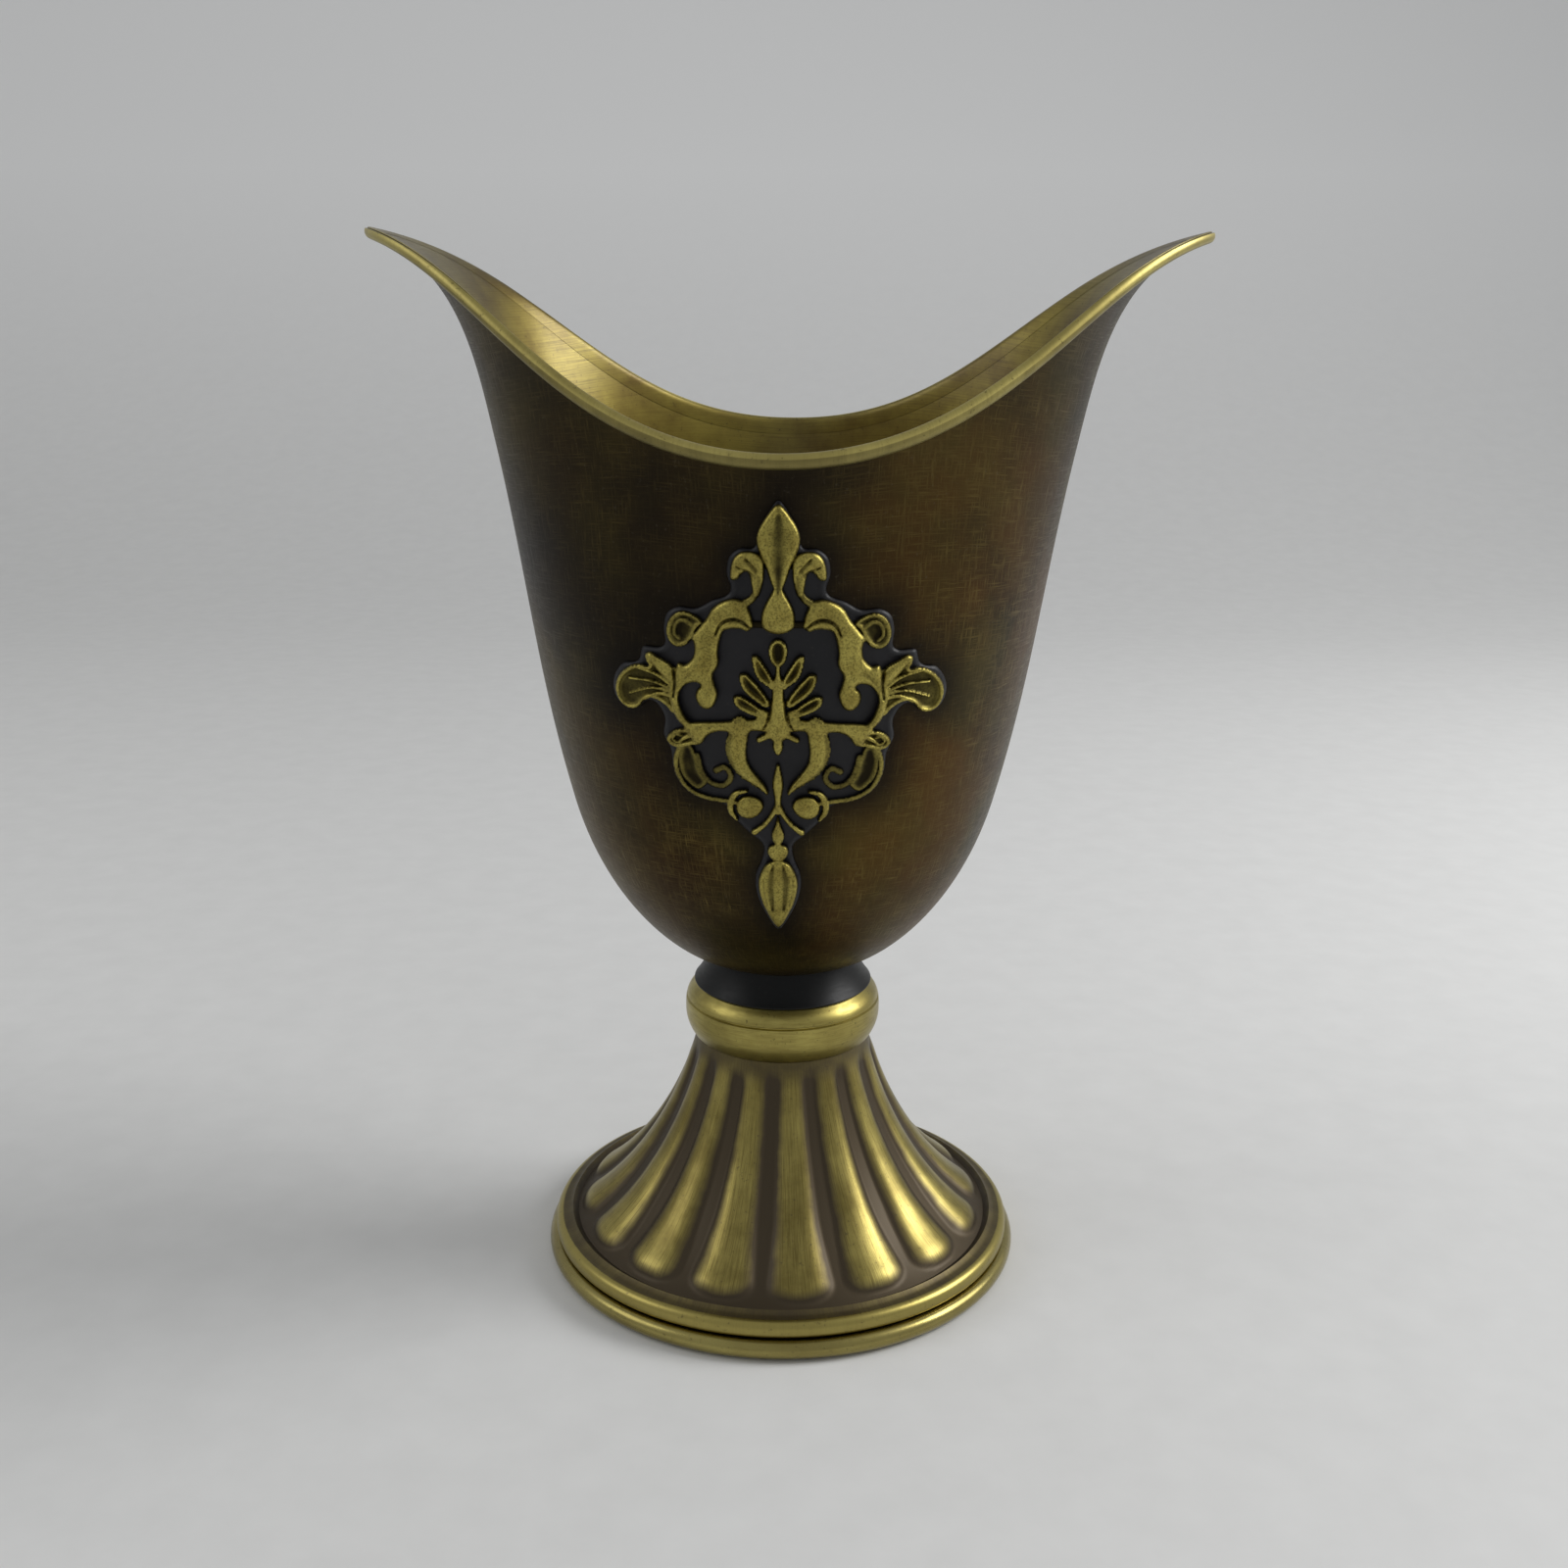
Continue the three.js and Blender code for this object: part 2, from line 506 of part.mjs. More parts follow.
// Finishes, as seen
const finish = {
  patina: { color: 0x3a2c1c, roughness: 0.5, metalness: 0.85 },
  brass: { color: 0xb39a5a, roughness: 0.32, metalness: 1.0 },
  wornBrass: { color: 0x8f8240, roughness: 0.45, metalness: 0.95 },
  antique: { color: 0x8b7a4a, roughness: 0.36, metalness: 1.0 },
  black: { color: 0x17151a, roughness: 0.4, metalness: 0.3 },
  steel: { color: 0x9a9a98, roughness: 0.4, metalness: 1.0 },
  rubber: { color: 0x1b1b1b, roughness: 0.8, metalness: 0.0 },
  felt: { color: 0x2c3a2e, roughness: 0.95, metalness: 0.0 },
};

function piece(name, geometry, look) {
  const mesh = new THREE.Mesh(geometry, new THREE.MeshStandardMaterial({ ...finish[look] }));
  mesh.name = name;
  return mesh;
}

// Assembly

const foot = new THREE.Group();
foot.add(
  piece('felt_ring', washer(feltInner, feltOuter, 0, feltThickness, ringSides), 'felt'),
  piece('base_ring', baseRing(), 'brass'),
  piece('foot_shell', footShell(), 'antique'),
  piece('collar_ring', collarRing(), 'brass'),
  piece('neck_spacer', neckSpacer(), 'black'),
);

const cup = new THREE.Group();
cup.add(
  piece('cup_shell', cupShell(), 'patina'),
  piece('rim_bead', rimBead(), 'brass'),
  piece('medallion_ground', medallionGround(), 'black'),
  piece('medallion_ornament', medallionOrnament(), 'wornBrass'),
);

// The bolt's washers lie on the cup's floor; its nut and washers are under the foot's roof.
const sealSeat = cupSeat + sheet + clearance;
const sealTop = sealSeat + 1.5;
const washerTop = sealTop + clearance + 1.2;
const boltSeat = washerTop + clearance;
const lowWasher = roofUnderside - clearance - 1.6;
const springLow = lowWasher - clearance - 1.8;
const fasteners = new THREE.Group();
fasteners.add(
  piece('sealing_washer', washer(boltHole, 13, sealSeat, sealTop, smallSides), 'rubber'),
  piece('cup_washer', washer(boltHole, 11, sealTop + clearance, washerTop, smallSides), 'brass'),
  piece('cup_bolt', cupBolt(boltSeat), 'brass'),
  piece('foot_washer', washer(boltHole, 10, lowWasher, roofUnderside - clearance, smallSides), 'steel'),
  piece('spring_washer', splitWasher(boltHole, 7, springLow, 1.8), 'steel'),
  piece('foot_nut', hexNut(springLow - clearance - nutHeight), 'steel'),
);

const vase = new THREE.Group();
vase.name = 'pedestal_vase';
vase.add(foot, cup, fasteners);

export default vase;
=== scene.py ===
# A pedestal vase in antiqued brass: a spun cup with a boat-shaped mouth and an applied medallion, a dark
# neck, a turned collar and a fluted trumpet foot. Sizes are given in millimetres and drawn in metres.
import bpy
import bmesh
import math
import numpy as np
from mathutils import Matrix


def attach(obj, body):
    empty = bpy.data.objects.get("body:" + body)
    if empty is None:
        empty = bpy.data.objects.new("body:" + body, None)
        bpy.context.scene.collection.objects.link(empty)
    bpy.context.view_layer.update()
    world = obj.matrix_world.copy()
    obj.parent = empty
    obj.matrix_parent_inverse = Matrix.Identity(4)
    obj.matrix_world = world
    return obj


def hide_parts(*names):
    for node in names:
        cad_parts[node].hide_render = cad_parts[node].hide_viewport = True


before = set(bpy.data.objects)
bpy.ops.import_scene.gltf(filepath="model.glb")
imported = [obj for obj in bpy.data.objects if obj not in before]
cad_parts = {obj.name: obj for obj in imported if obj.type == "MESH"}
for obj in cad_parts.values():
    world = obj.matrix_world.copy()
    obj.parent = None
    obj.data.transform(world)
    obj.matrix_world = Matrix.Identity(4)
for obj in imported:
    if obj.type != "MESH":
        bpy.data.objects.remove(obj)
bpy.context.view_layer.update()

# Felt ring: dense dark green felt, punched from sheet and glued into the recess under the base ring.
# It stands out 0.4 mm, so that the brass doesn't scratch the table.
mm = 0.001
felt_inner, felt_outer, felt_thick, felt_round = 65.6, 69.6, 1.4, 0.25


def drawn(shape, section, closed=True, marks=()):
    """Draws a section of (radius, height) beside the axis: its corners, and the sides between them. Further
    numbers at a place go into the float layers that marks names."""
    layers = [shape.verts.layers.float.new(mark) for mark in marks]
    corners = []
    for r, z, *values in section:
        corner = shape.verts.new((r * mm, 0, z * mm))
        for layer, value in zip(layers, values):
            corner[layer] = value
        corners.append(corner)
    onward = corners[1:] + corners[:1] if closed else corners[1:]
    return corners, [shape.edges.new(ends) for ends in zip(corners, onward)]


def turned(section, steps=192, closed=True, marks=()):
    """A section turned once round the axis. One that isn't closed starts and ends on the axis."""
    shape = bmesh.new()
    corners, sides = drawn(shape, section, closed, marks)
    bmesh.ops.spin(shape, geom=corners + sides, cent=(0, 0, 0), axis=(0, 0, 1), angle=2 * math.pi,
                   steps=steps, use_merge=True)
    bmesh.ops.remove_doubles(shape, verts=shape.verts, dist=0.001 * mm)
    bmesh.ops.recalc_face_normals(shape, faces=shape.faces)
    return shape


def finished(shape, name, finishes, crease=32):
    """Smooth faces with crisp creases, as an object of its own."""
    for face in shape.faces:
        face.smooth = True
    for edge in shape.edges:
        edge.smooth = len(edge.link_faces) != 2 or edge.calc_face_angle(0) < math.radians(crease)
    mesh = bpy.data.meshes.new(name)
    shape.to_mesh(mesh)
    shape.free()
    for look in finishes:
        mesh.materials.append(look)
    piece = bpy.data.objects.new(name, mesh)
    bpy.context.scene.collection.objects.link(piece)
    return piece


def feed(socket, value):
    """Links a socket, or sets it."""
    if isinstance(value, bpy.types.NodeSocket):
        socket.id_data.links.new(value, socket)
    else:
        socket.default_value = (*value, 1) if socket.type == "RGBA" else value


def node(kind, inputs, **settings):
    """Adds a node to the tree of the sockets among its inputs, and returns its outputs."""
    tree = next(value.id_data for value in inputs.values() if isinstance(value, bpy.types.NodeSocket))
    made = tree.nodes.new(kind)
    for key, value in settings.items():
        setattr(made, key, value)
    for key, value in inputs.items():
        feed(made.inputs[key], value)
    return made.outputs


def tinted(mask, low, high):
    """One colour where the mask is 0, the other where it is 1."""
    return node("ShaderNodeMix", {0: mask, 6: low, 7: high}, data_type="RGBA")[2]


def ranged(value, low, high, to_low=0.0, to_high=1.0):
    return node("ShaderNodeMapRange", {0: value, 1: low, 2: high, 3: to_low, 4: to_high})[0]


def clouded(where, scale, detail=4.0, rough=0.55):
    inputs = {"Vector": where, "Scale": scale, "Detail": detail, "Roughness": rough}
    return node("ShaderNodeTexNoise", inputs)[0]


def bumped(height, strength, depth, under=None):
    inputs = {"Height": height, "Strength": strength, "Distance": depth * mm}
    if under is not None:
        inputs["Normal"] = under
    return node("ShaderNodeBump", inputs)[0]


def started(name, **settings):
    """A new finish: its tree, its shader and its object coordinates."""
    look = bpy.data.materials.new(name)
    look.use_nodes = True
    tree = look.node_tree
    shader = tree.nodes["Principled BSDF"]
    for key, value in settings.items():
        feed(shader.inputs[key.replace("_", " ")], value)
    return look, tree, shader, tree.nodes.new("ShaderNodeTexCoord").outputs["Object"]


def dressed(shader, colour, roughness, normal):
    """Gives a finish its colour, its roughness and its small relief."""
    for label, value in (("Base Color", colour), ("Roughness", roughness), ("Normal", normal)):
        feed(shader.inputs[label], value)


felt_look, tree, shader, where = started("felt", Metallic=0.0, Sheen_Weight=0.3)
fibres = clouded(where, 2600, 5, 0.7)
pills = clouded(where, 420, 3)
colour = tinted(ranged(fibres, 0.3, 0.7), (0.008, 0.014, 0.010), (0.030, 0.050, 0.036))
dressed(shader, colour, ranged(pills, 0.3, 0.7, 0.85, 1.0),
        bumped(fibres, 0.8, 0.25, bumped(pills, 0.5, 0.3)))

low, high = felt_round, felt_thick - felt_round
section = [(felt_inner + felt_round, 0), (felt_outer - felt_round, 0), (felt_outer, low), (felt_outer, high),
           (felt_outer - felt_round, felt_thick), (felt_inner + felt_round, felt_thick), (felt_inner, high),
           (felt_inner, low)]
felt = finished(turned(section), "felt", [felt_look], crease=50)
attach(felt, "root")
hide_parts("felt_ring")

# Base ring: half-round brass ring turned from bar, stepped inside so that it centres the foot, with a
# recess for the felt. It is polished, aged and lacquered, and the foot is sweated to its step.
ring_outer, ring_top, ring_bore = 72.4, 6.0, 63.0
step_radius, step_height = 65.9, 2.2
felt_showing, snug, bevel, step_bevel = 0.4, 0.3, 0.4, 0.3


def arc(centre_r, centre_z, radius, start, end, steps):
    """Points on an arc of the section, its angles in degrees from straight outward."""
    angles = np.radians(np.linspace(start, end, steps + 1))
    return [(centre_r + radius * math.cos(a), centre_z + radius * math.sin(a)) for a in angles]


def reckon(operation, *values):
    return node("ShaderNodeMath", dict(enumerate(values)), operation=operation)[0]


def vector(operation, inputs):
    return node("ShaderNodeVectorMath", inputs, operation=operation)


def laid(colour, over, mask, share):
    """Lays a second colour over the first, by a share of the mask."""
    return tinted(reckon("MULTIPLY", mask, share), colour, over)


def painted(tree, mark):
    """The value that the mesh's vertices hold under a name."""
    held = tree.nodes.new("ShaderNodeAttribute")
    held.attribute_name = mark
    return held.outputs["Fac"]


def new_group(name, inputs, outputs):
    """A node group of numbers: its tree, what it takes, what it gives, and its object coordinates."""
    tree = bpy.data.node_groups.new(name, "ShaderNodeTree")
    for label, value in inputs.items():
        tree.interface.new_socket(label, in_out="INPUT", socket_type="NodeSocketFloat").default_value = value
    for label in outputs:
        tree.interface.new_socket(label, in_out="OUTPUT", socket_type="NodeSocketFloat")
    return (tree, tree.nodes.new("NodeGroupInput").outputs, tree.nodes.new("NodeGroupOutput").inputs,
            tree.nodes.new("ShaderNodeTexCoord").outputs["Object"])


def used(tree, group, **inputs):
    """What a node group gives, with values for its inputs."""
    made = tree.nodes.new("ShaderNodeGroup")
    made.node_tree = group
    for key, value in inputs.items():
        feed(made.inputs[key], value)
    return made.outputs


# Fine strokes left by brushing: along the piece's rise, and round it. Their width and length are in
# millimetres, true at the radius given. Flare is 1 where the piece widens upward and -1 where it narrows.
stroke_radius = 60.0
strokes, taken, given, where = new_group("brush_strokes", {"Width": 0.3, "Length": 10.0, "Flare": 1.0},
                                         ("Along", "Round"))
place = node("ShaderNodeSeparateXYZ", {0: where})
plan = node("ShaderNodeCombineXYZ", {"X": place["X"], "Y": place["Y"]})[0]
reach, aim = vector("LENGTH", {0: plan})["Value"], vector("NORMALIZE", {0: plan})[0]
climb = reckon("MULTIPLY", reckon("MULTIPLY_ADD", reach, taken["Flare"], place["Z"]), 1 / mm)
for label, across, onward in (("Along", "Width", "Length"), ("Round", "Length", "Width")):
    swept = vector("SCALE", {0: aim, "Scale": reckon("DIVIDE", stroke_radius, taken[across])})[0]
    lift = node("ShaderNodeCombineXYZ", {"Z": reckon("DIVIDE", climb, taken[onward])})[0]
    feed(given[label], clouded(vector("ADD", {0: swept, 1: lift})[0], 1.0, 2.0, 0.6))

# Age on metal: cloudy patches, small specks where dirt has stayed, and the metal's slight ripple.
ageing, taken, given, where = new_group("aged_metal", {"Patch": 30.0}, ("Patches", "Specks", "Ripple"))
feed(given["Patches"], ranged(clouded(where, taken["Patch"], 5.0, 0.6), 0.38, 0.64))
feed(given["Specks"], ranged(clouded(where, 900.0, 3.0, 0.6), 0.62, 0.74))
feed(given["Ripple"], clouded(where, 160.0, 3.0, 0.5))


def brassy(name, bright, deep, grime, rough, flare=1.0, brushed=0.35, wear_and_painted_light=None, patch=30.0, grain=0.0,
           lacquer=0.35):
    """Aged brass under lacquer: bright, deep in its patches and its brushed strokes, with specks and a fine
    grain of grime. Where the vertices hold wear, it is grimy at 0, bare towards 1 and polished above 1. On
    the ornament that value also holds painted shade in the middles of the rounded leaves."""
    look, tree, shader, where = started(name, Metallic=1.0, Coat_Weight=lacquer, Coat_Roughness=0.30)
    age = used(tree, ageing, Patch=patch)
    brush = used(tree, strokes, Width=0.35, Length=14.0, Flare=flare)
    patches = reckon("MULTIPLY", age["Patches"], 0.7)
    streaks = ranged(brush["Along" if wear_and_painted_light else "Round"], 0.42, 0.72)
    if wear_and_painted_light:
        worn_and_painted_light = painted(tree, wear_and_painted_light)
        unpolished = ranged(worn_and_painted_light, 1.05, 1.4, 1.0, 0.15)
        patches, streaks = (reckon("MULTIPLY", each, unpolished) for each in (patches, streaks))
    colour = laid(tinted(patches, bright, deep), deep, streaks, brushed)
    colour = laid(colour, grime, age["Specks"], 0.6)
    if grain:
        fine = ranged(clouded(where, 1900.0, 3.0, 0.6), 0.46, 0.62)
        colour = laid(colour, grime, fine, grain)
    gloss = ranged(streaks, 0.0, 1.0, rough, rough + 0.10)
    if wear_and_painted_light:
        uneven = reckon("MULTIPLY_ADD", reckon("SUBTRACT", age["Ripple"], 0.5), 0.35, worn_and_painted_light)
        rubbed_and_shaded = ranged(uneven, 0.12, 0.72)
        colour = tinted(rubbed_and_shaded, grime, colour)
        gloss = ranged(rubbed_and_shaded, 0.0, 1.0, 0.55, rough + 0.04)
    dressed(shader, colour, gloss,
            bumped(age["Ripple"], 0.12, 0.25, bumped(streaks, 0.10, 0.03)))
    return look


base_look = brassy("base_brass", (0.36, 0.305, 0.095), (0.21, 0.165, 0.045), (0.035, 0.028, 0.015), 0.26)
half = (ring_top - felt_showing) / 2
recess, step_top = felt_thick + snug, ring_top + step_height
section = [(ring_bore + bevel, felt_showing), (felt_inner - snug, felt_showing), (felt_inner - snug, recess),
           (felt_outer + snug, recess), (felt_outer + snug, felt_showing),
           *arc(ring_outer - half, felt_showing + half, half, -82, 90, 20),
           (step_radius + step_bevel, ring_top), (step_radius, ring_top + step_bevel),
           (step_radius, step_top - bevel), (step_radius - bevel, step_top),
           (ring_bore + bevel, step_top), (ring_bore, step_top - bevel), (ring_bore, felt_showing + bevel)]
base = finished(turned(section), "base", [base_look])
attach(base, "root")
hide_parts("base_ring")

# Foot: a hollow brass casting, trumpet shaped, with sixteen raised flutes that end in round noses above a
# rolled edge. It is brushed, blackened, and rubbed bright on the crests, so the channels stay dark.
flutes, flute_columns = 16, 30
front = -math.pi / 2
first_flute = front + math.radians(6.9)
flute_low, flute_high = 2.1, 1.1
flute_share, slimmer, slim_after, roundness = 0.92, 0.16, 24, 2.4
nose_start, nose, head_start, head = 1.5, 6.5, 1.0, 7.5
band_relief, band_wear, soft_foot, crest_power = 0.6, 0.36, 0.08, 0.85
edge_wear, low_wear, hidden_wear, wear_power, upper_dulling = 1.5, 0.25, 0.1, 1.5, 0.3
foot_wall, shoulder, foot_top = 2.2, 69.5, 85.9
spigot, well, well_low, roof, bolt_hole = 23.5, 21.3, 66.0, 82.9, 4.5
edge_outer, edge_top, foot_seat, inside_low = 70.3, 11.4, 6.3, 9.4
edge_round, square, shoulder_step, shoulder_rise = 2.5, 0.6, 1.2, 0.2
hollow_rows = (54, 46, 38, 30, 22, 14, 7, 0)


def marked(shape, *marks):
    return (shape.verts.layers.float[mark] for mark in marks)


def turn_of(vert):
    return math.atan2(vert.co.y, vert.co.x)


def bezier(points, t):
    """Places on a Bezier curve of three or four points, one for each share in t."""
    t = np.atleast_1d(np.asarray(t, float))[:, None]
    rows = [np.asarray(p, float)[None, :] for p in points]
    while len(rows) > 1:
        rows = [a * (1 - t) + b * t for a, b in zip(rows, rows[1:])]
    return rows[0]


foot_curve = ((64.4, 13.3), (48.9, 21.5), (32.6, 42.8), (26.5, 69.5))
rise = np.linspace(0, 1, 73)
outline = bezier(foot_curve, rise)
slope = np.gradient(outline, rise, axis=0)
slope /= np.linalg.norm(slope, axis=1)[:, None]
inward = np.stack([-slope[:, 1], slope[:, 0]], 1)
travel = np.concatenate([[0], np.cumsum(np.linalg.norm(np.diff(outline, axis=0), axis=1))])
depth = flute_low + (flute_high - flute_low) * rise

lower_edge = []
for a in np.radians(np.linspace(-80, 84, 17)):
    power = square if a < 0 else 1.0
    lower_edge.append((edge_outer - edge_round + edge_round * math.cos(a) ** power,
                       (foot_seat + edge_top) / 2 + edge_round * math.copysign(abs(math.sin(a)) ** power, a)))
edge_fillet = [(66.9, 11.5), (66.1, 11.8), (65.2, 12.6)]
hollow = [tuple(outline[k] + inward[k] * (depth[k] + foot_wall)) for k in hollow_rows]
section = [(step_radius + snug, foot_seat), *lower_edge, *edge_fillet, *map(tuple, outline),
           (spigot + shoulder_step, shoulder + shoulder_rise), (spigot, shoulder + 2 * shoulder_rise),
           (spigot, foot_top - bevel),
           (spigot - bevel, foot_top), (bolt_hole, foot_top), (bolt_hole, roof), (well, roof),
           (well, well_low), *hollow, (step_radius + snug, inside_low)]
first = 1 + len(lower_edge) + len(edge_fillet)
edge_rows = range(3 - first, len(lower_edge) - first)
shape = turned([(r, z, k - first) for k, (r, z) in enumerate(section)], flutes * flute_columns,
               marks=("row", "wear_and_painted_light"))
row_of, wear_and_painted_light_of = marked(shape, "row", "wear_and_painted_light")
for vert in shape.verts:
    row = int(round(vert[row_of]))
    if not 0 <= row < len(rise):
        vert[wear_and_painted_light_of] = edge_wear if row in edge_rows else (low_wear if row < 0 else hidden_wear)
        continue
    angle = turn_of(vert)
    across = ((angle - first_flute) * flutes / (2 * math.pi) + 0.5) % 1 * 2 - 1
    near_low = max(0.0, 1 - (travel[row] - nose_start) / nose)
    near_high = max(0.0, 1 - (travel[-1] - travel[row] - head_start) / head)
    wide = flute_share - slimmer * min(1.0, travel[row] / slim_after)
    wide += (1 - wide) * near_high ** 3
    left = max(0.0, 1 - abs(across / wide) ** roundness - near_low ** roundness)
    relief = (left ** 2 / (left + soft_foot) * (1 + soft_foot)) ** crest_power
    merged = near_high ** 2 * (3 - 2 * near_high)
    relief += (band_relief - relief) * merged
    rubbed_and_shaded = left ** wear_power * (1 - merged) + band_wear * merged
    r, z = outline[row] + inward[row] * depth[row] * (1 - relief)
    vert.co = (r * math.cos(angle) * mm, r * math.sin(angle) * mm, z * mm)
    vert[wear_and_painted_light_of] = rubbed_and_shaded * (1 - upper_dulling * (travel[row] / travel[-1]) ** 2)
bmesh.ops.recalc_face_normals(shape, faces=shape.faces)
foot_look = brassy("foot_antique_brass", (0.375, 0.31, 0.092), (0.13, 0.098, 0.026), (0.074, 0.057, 0.036),
                   0.31, flare=-1.0, brushed=0.75, wear_and_painted_light="wear_and_painted_light", patch=55.0, lacquer=0.12)
foot = finished(shape, "foot", [foot_look], crease=48)
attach(foot, "root")
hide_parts("foot_shell")

# Collar: a heavy ring turned from brass bar, swelling in the middle, with one fine line cut round its upper
# part. It slips over the foot's spigot and hides the joint between foot and neck.
collar_seat, swell_radius, swell_height, low_power, high_power = 69.8, 29.4, 2.9, 2.0, 3.4
line_height, line_depth, line_half, line_floor = 81.2, 0.5, 0.45, 0.12
low_bevel, top_bevel, middle_drop = 0.35, 0.45, 0.5
half = (foot_top - collar_seat) / 2
middle = collar_seat + half - middle_drop


def swell(z):
    """The collar's radius: round below its middle, nearly upright above it with a rounded shoulder."""
    off = (z - middle) / half
    return swell_radius - swell_height * abs(off) ** (low_power if off < 0 else high_power)


below = [(swell(z), z) for z in np.linspace(collar_seat + low_bevel, line_height - line_half, 22)]
above = [(swell(z), z) for z in np.linspace(line_height + line_half, foot_top - top_bevel, 9)]
line_radius = swell(line_height) - line_depth
section = [(spigot + snug, collar_seat), (below[0][0] - low_bevel, collar_seat), *below,
           (line_radius, line_height - line_floor), (line_radius, line_height + line_floor), *above,
           (above[-1][0] - top_bevel, foot_top), (spigot + snug, foot_top)]
collar_look = brassy("collar_brass", (0.45, 0.38, 0.108), (0.20, 0.155, 0.038), (0.035, 0.028, 0.015), 0.33,
                     brushed=0.55, lacquer=0.2)
collar = finished(turned(section), "collar", [collar_look])
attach(collar, "root")
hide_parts("collar_ring")

# Neck: a waisted spacer turned from brass and blackened all over, clamped by the bolt between the foot's
# spigot and the cup. Faint turning marks show in its satin black.
neck_seat, neck_height, neck_foot, neck_top, neck_edge = 86.2, 8.9, 26.7, 22.2, 0.3
neck_bevel, waist_low, waist_pull = 0.25, 0.5, (23.9, 90.0)
waist = bezier(((neck_foot, neck_seat + waist_low), waist_pull, (neck_top, neck_seat + neck_height)),
               np.linspace(0, 1, 19))
section = [(bolt_hole, neck_seat), (neck_foot - neck_edge, neck_seat), (neck_foot, neck_seat + neck_bevel),
           *map(tuple, waist), (bolt_hole, neck_seat + neck_height)]
neck_look, tree, shader, where = started("neck_black", Metallic=0.0, Specular_IOR_Level=0.22)
age = used(tree, ageing)
marks = used(tree, strokes)["Round"]
colour = tinted(age["Patches"], (0.003, 0.0035, 0.0035), (0.006, 0.006, 0.006))
dressed(shader, laid(colour, (0.02, 0.018, 0.015), age["Specks"], 0.5),
        ranged(marks, 0.3, 0.7, 0.36, 0.46), bumped(marks, 0.08, 0.03))
neck = finished(turned(section), "neck", [neck_look])
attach(neck, "root")
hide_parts("neck_spacer")

# Cup: one sheet of brass, 1.5 mm thick, spun round as far as its shoulder, then drawn to a boat-shaped mouth
# and trimmed to a rim that climbs to two tips. Outside it is patinated dark and brushed both ways through
# the wet patina. Inside it is left brass, stained by age.
sheet, cup_seat, cup_floor = 1.5, 95.4, 22.3
drawn_from, level_top = 190.0, 240.0
mouth_depth, mouth_reach, rim_low, rim_tip = 79.4, 113.2, 246.5, 301.2
halo_reach, halo_fade = 13.0, 1.4
past_tip, floor_step, cup_columns, crowded, lip_gathered = 1.8, 0.9, 256, 0.2, 1.7
bowl = ((cup_floor, cup_seat), (36.1, 99.0), (54.8, 118.1), (62.0, 148.2))
wall = (bowl[-1], (71.2, 183.3), (73.4, 212.6), (79.9, 246.1))
lip = (wall[-1], (84.6, 270.4), (87.9, 293.3), (mouth_reach, rim_tip))

share = np.linspace(0, 1, 121)
cup_outline = np.vstack([bezier(curve, share) for curve in (bowl, wall, lip)])
rim_front = bezier(((0, rim_low), (58.4, rim_low), (74.4, 292.3), (mouth_reach + past_tip, rim_tip)), share)
rim_plan = bezier(((0, mouth_depth), (31, mouth_depth), (mouth_reach, 28), (mouth_reach, 0)), share)
plan_angle, plan_reach = np.arctan2(rim_plan[:, 1], rim_plan[:, 0]), np.hypot(rim_plan[:, 0], rim_plan[:, 1])


def round_radius(z):
    return np.interp(z, cup_outline[:, 1], cup_outline[:, 0])


def rim_reach(angle):
    quarter = np.arctan2(np.abs(np.sin(angle)), np.abs(np.cos(angle)))
    return np.interp(quarter, plan_angle[::-1], plan_reach[::-1])


def rim_height(angle):
    return np.interp(np.abs(rim_reach(angle) * np.cos(angle)), rim_front[:, 0], rim_front[:, 1])


def cup_reach(angle, z):
    """Radius of the cup's outside: round low down, drawn to the mouth's outline at the rim."""
    top = rim_height(angle)
    climb = np.clip((z - drawn_from) / (top - drawn_from), 0, 1)
    stretch = (rim_reach(angle) / round_radius(top) - 1) * climb * climb * (3 - 2 * climb)
    return round_radius(z) * (1 + stretch)


def on_cup(angle, z, offset):
    """Places set off from the cup's outside, outward where the offset is positive."""
    near = 0.2
    lean = (cup_reach(angle, z + near) - cup_reach(angle, z - near)) / (2 * near)
    size = np.hypot(1, lean)
    r = cup_reach(angle, z) + offset / size
    return np.stack([r * np.cos(angle), r * np.sin(angle), z - offset * lean / size], 1)


def cup_angles(turn):
    """Columns stand closer towards the two tips of the mouth."""
    return turn - crowded * np.sin(2 * turn)


def flowing(points, closed, per_span=6):
    """A smooth line through points, as a draughtsman's spline runs; a third number, a width, runs along."""
    points = np.asarray(points, float)
    count = len(points)
    if closed:
        ring = [points[(k - 1) % count] for k in range(count + 3)]
    else:
        ring = [2 * points[0] - points[1], *points, 2 * points[-1] - points[-2]]
    ring = np.array(ring)
    run = []
    t = np.linspace(0, 1, per_span, endpoint=False)[:, None]
    for a, b, c, d in zip(ring, ring[1:], ring[2:], ring[3:]):
        one, two, three = (max(np.linalg.norm(q - p) ** 0.5, 1e-4) for p, q in ((a, b), (b, c), (c, d)))
        go = ((b - a) / one - (c - a) / (one + two) + (c - b) / two) * two
        stop = ((c - b) / two - (d - b) / (two + three) + (d - c) / three) * two
        run.append(b + go * t + (3 * (c - b) - 2 * go - stop) * t ** 2 + (2 * (b - c) + go + stop) * t ** 3)
    if not closed:
        run.append(points[-1:])
    return np.vstack(run)


def symmetric(points):
    """A closed outline from its right half, listed from top to bottom."""
    points = [tuple(p) for p in points]
    return flowing(points + [(-x, z) for x, z in points[-2:0:-1]], True)


def beside(x, z, a, b):
    """Places against the line from a to b: how far along it they lie, from 0 to 1, and how far off it."""
    dx, dz = b[0] - a[0], b[1] - a[1]
    t = np.clip(((x - a[0]) * dx + (z - a[1]) * dz) / max(dx * dx + dz * dz, 1e-9), 0, 1)
    return t, np.hypot(x - a[0] - t * dx, z - a[1] - t * dz)


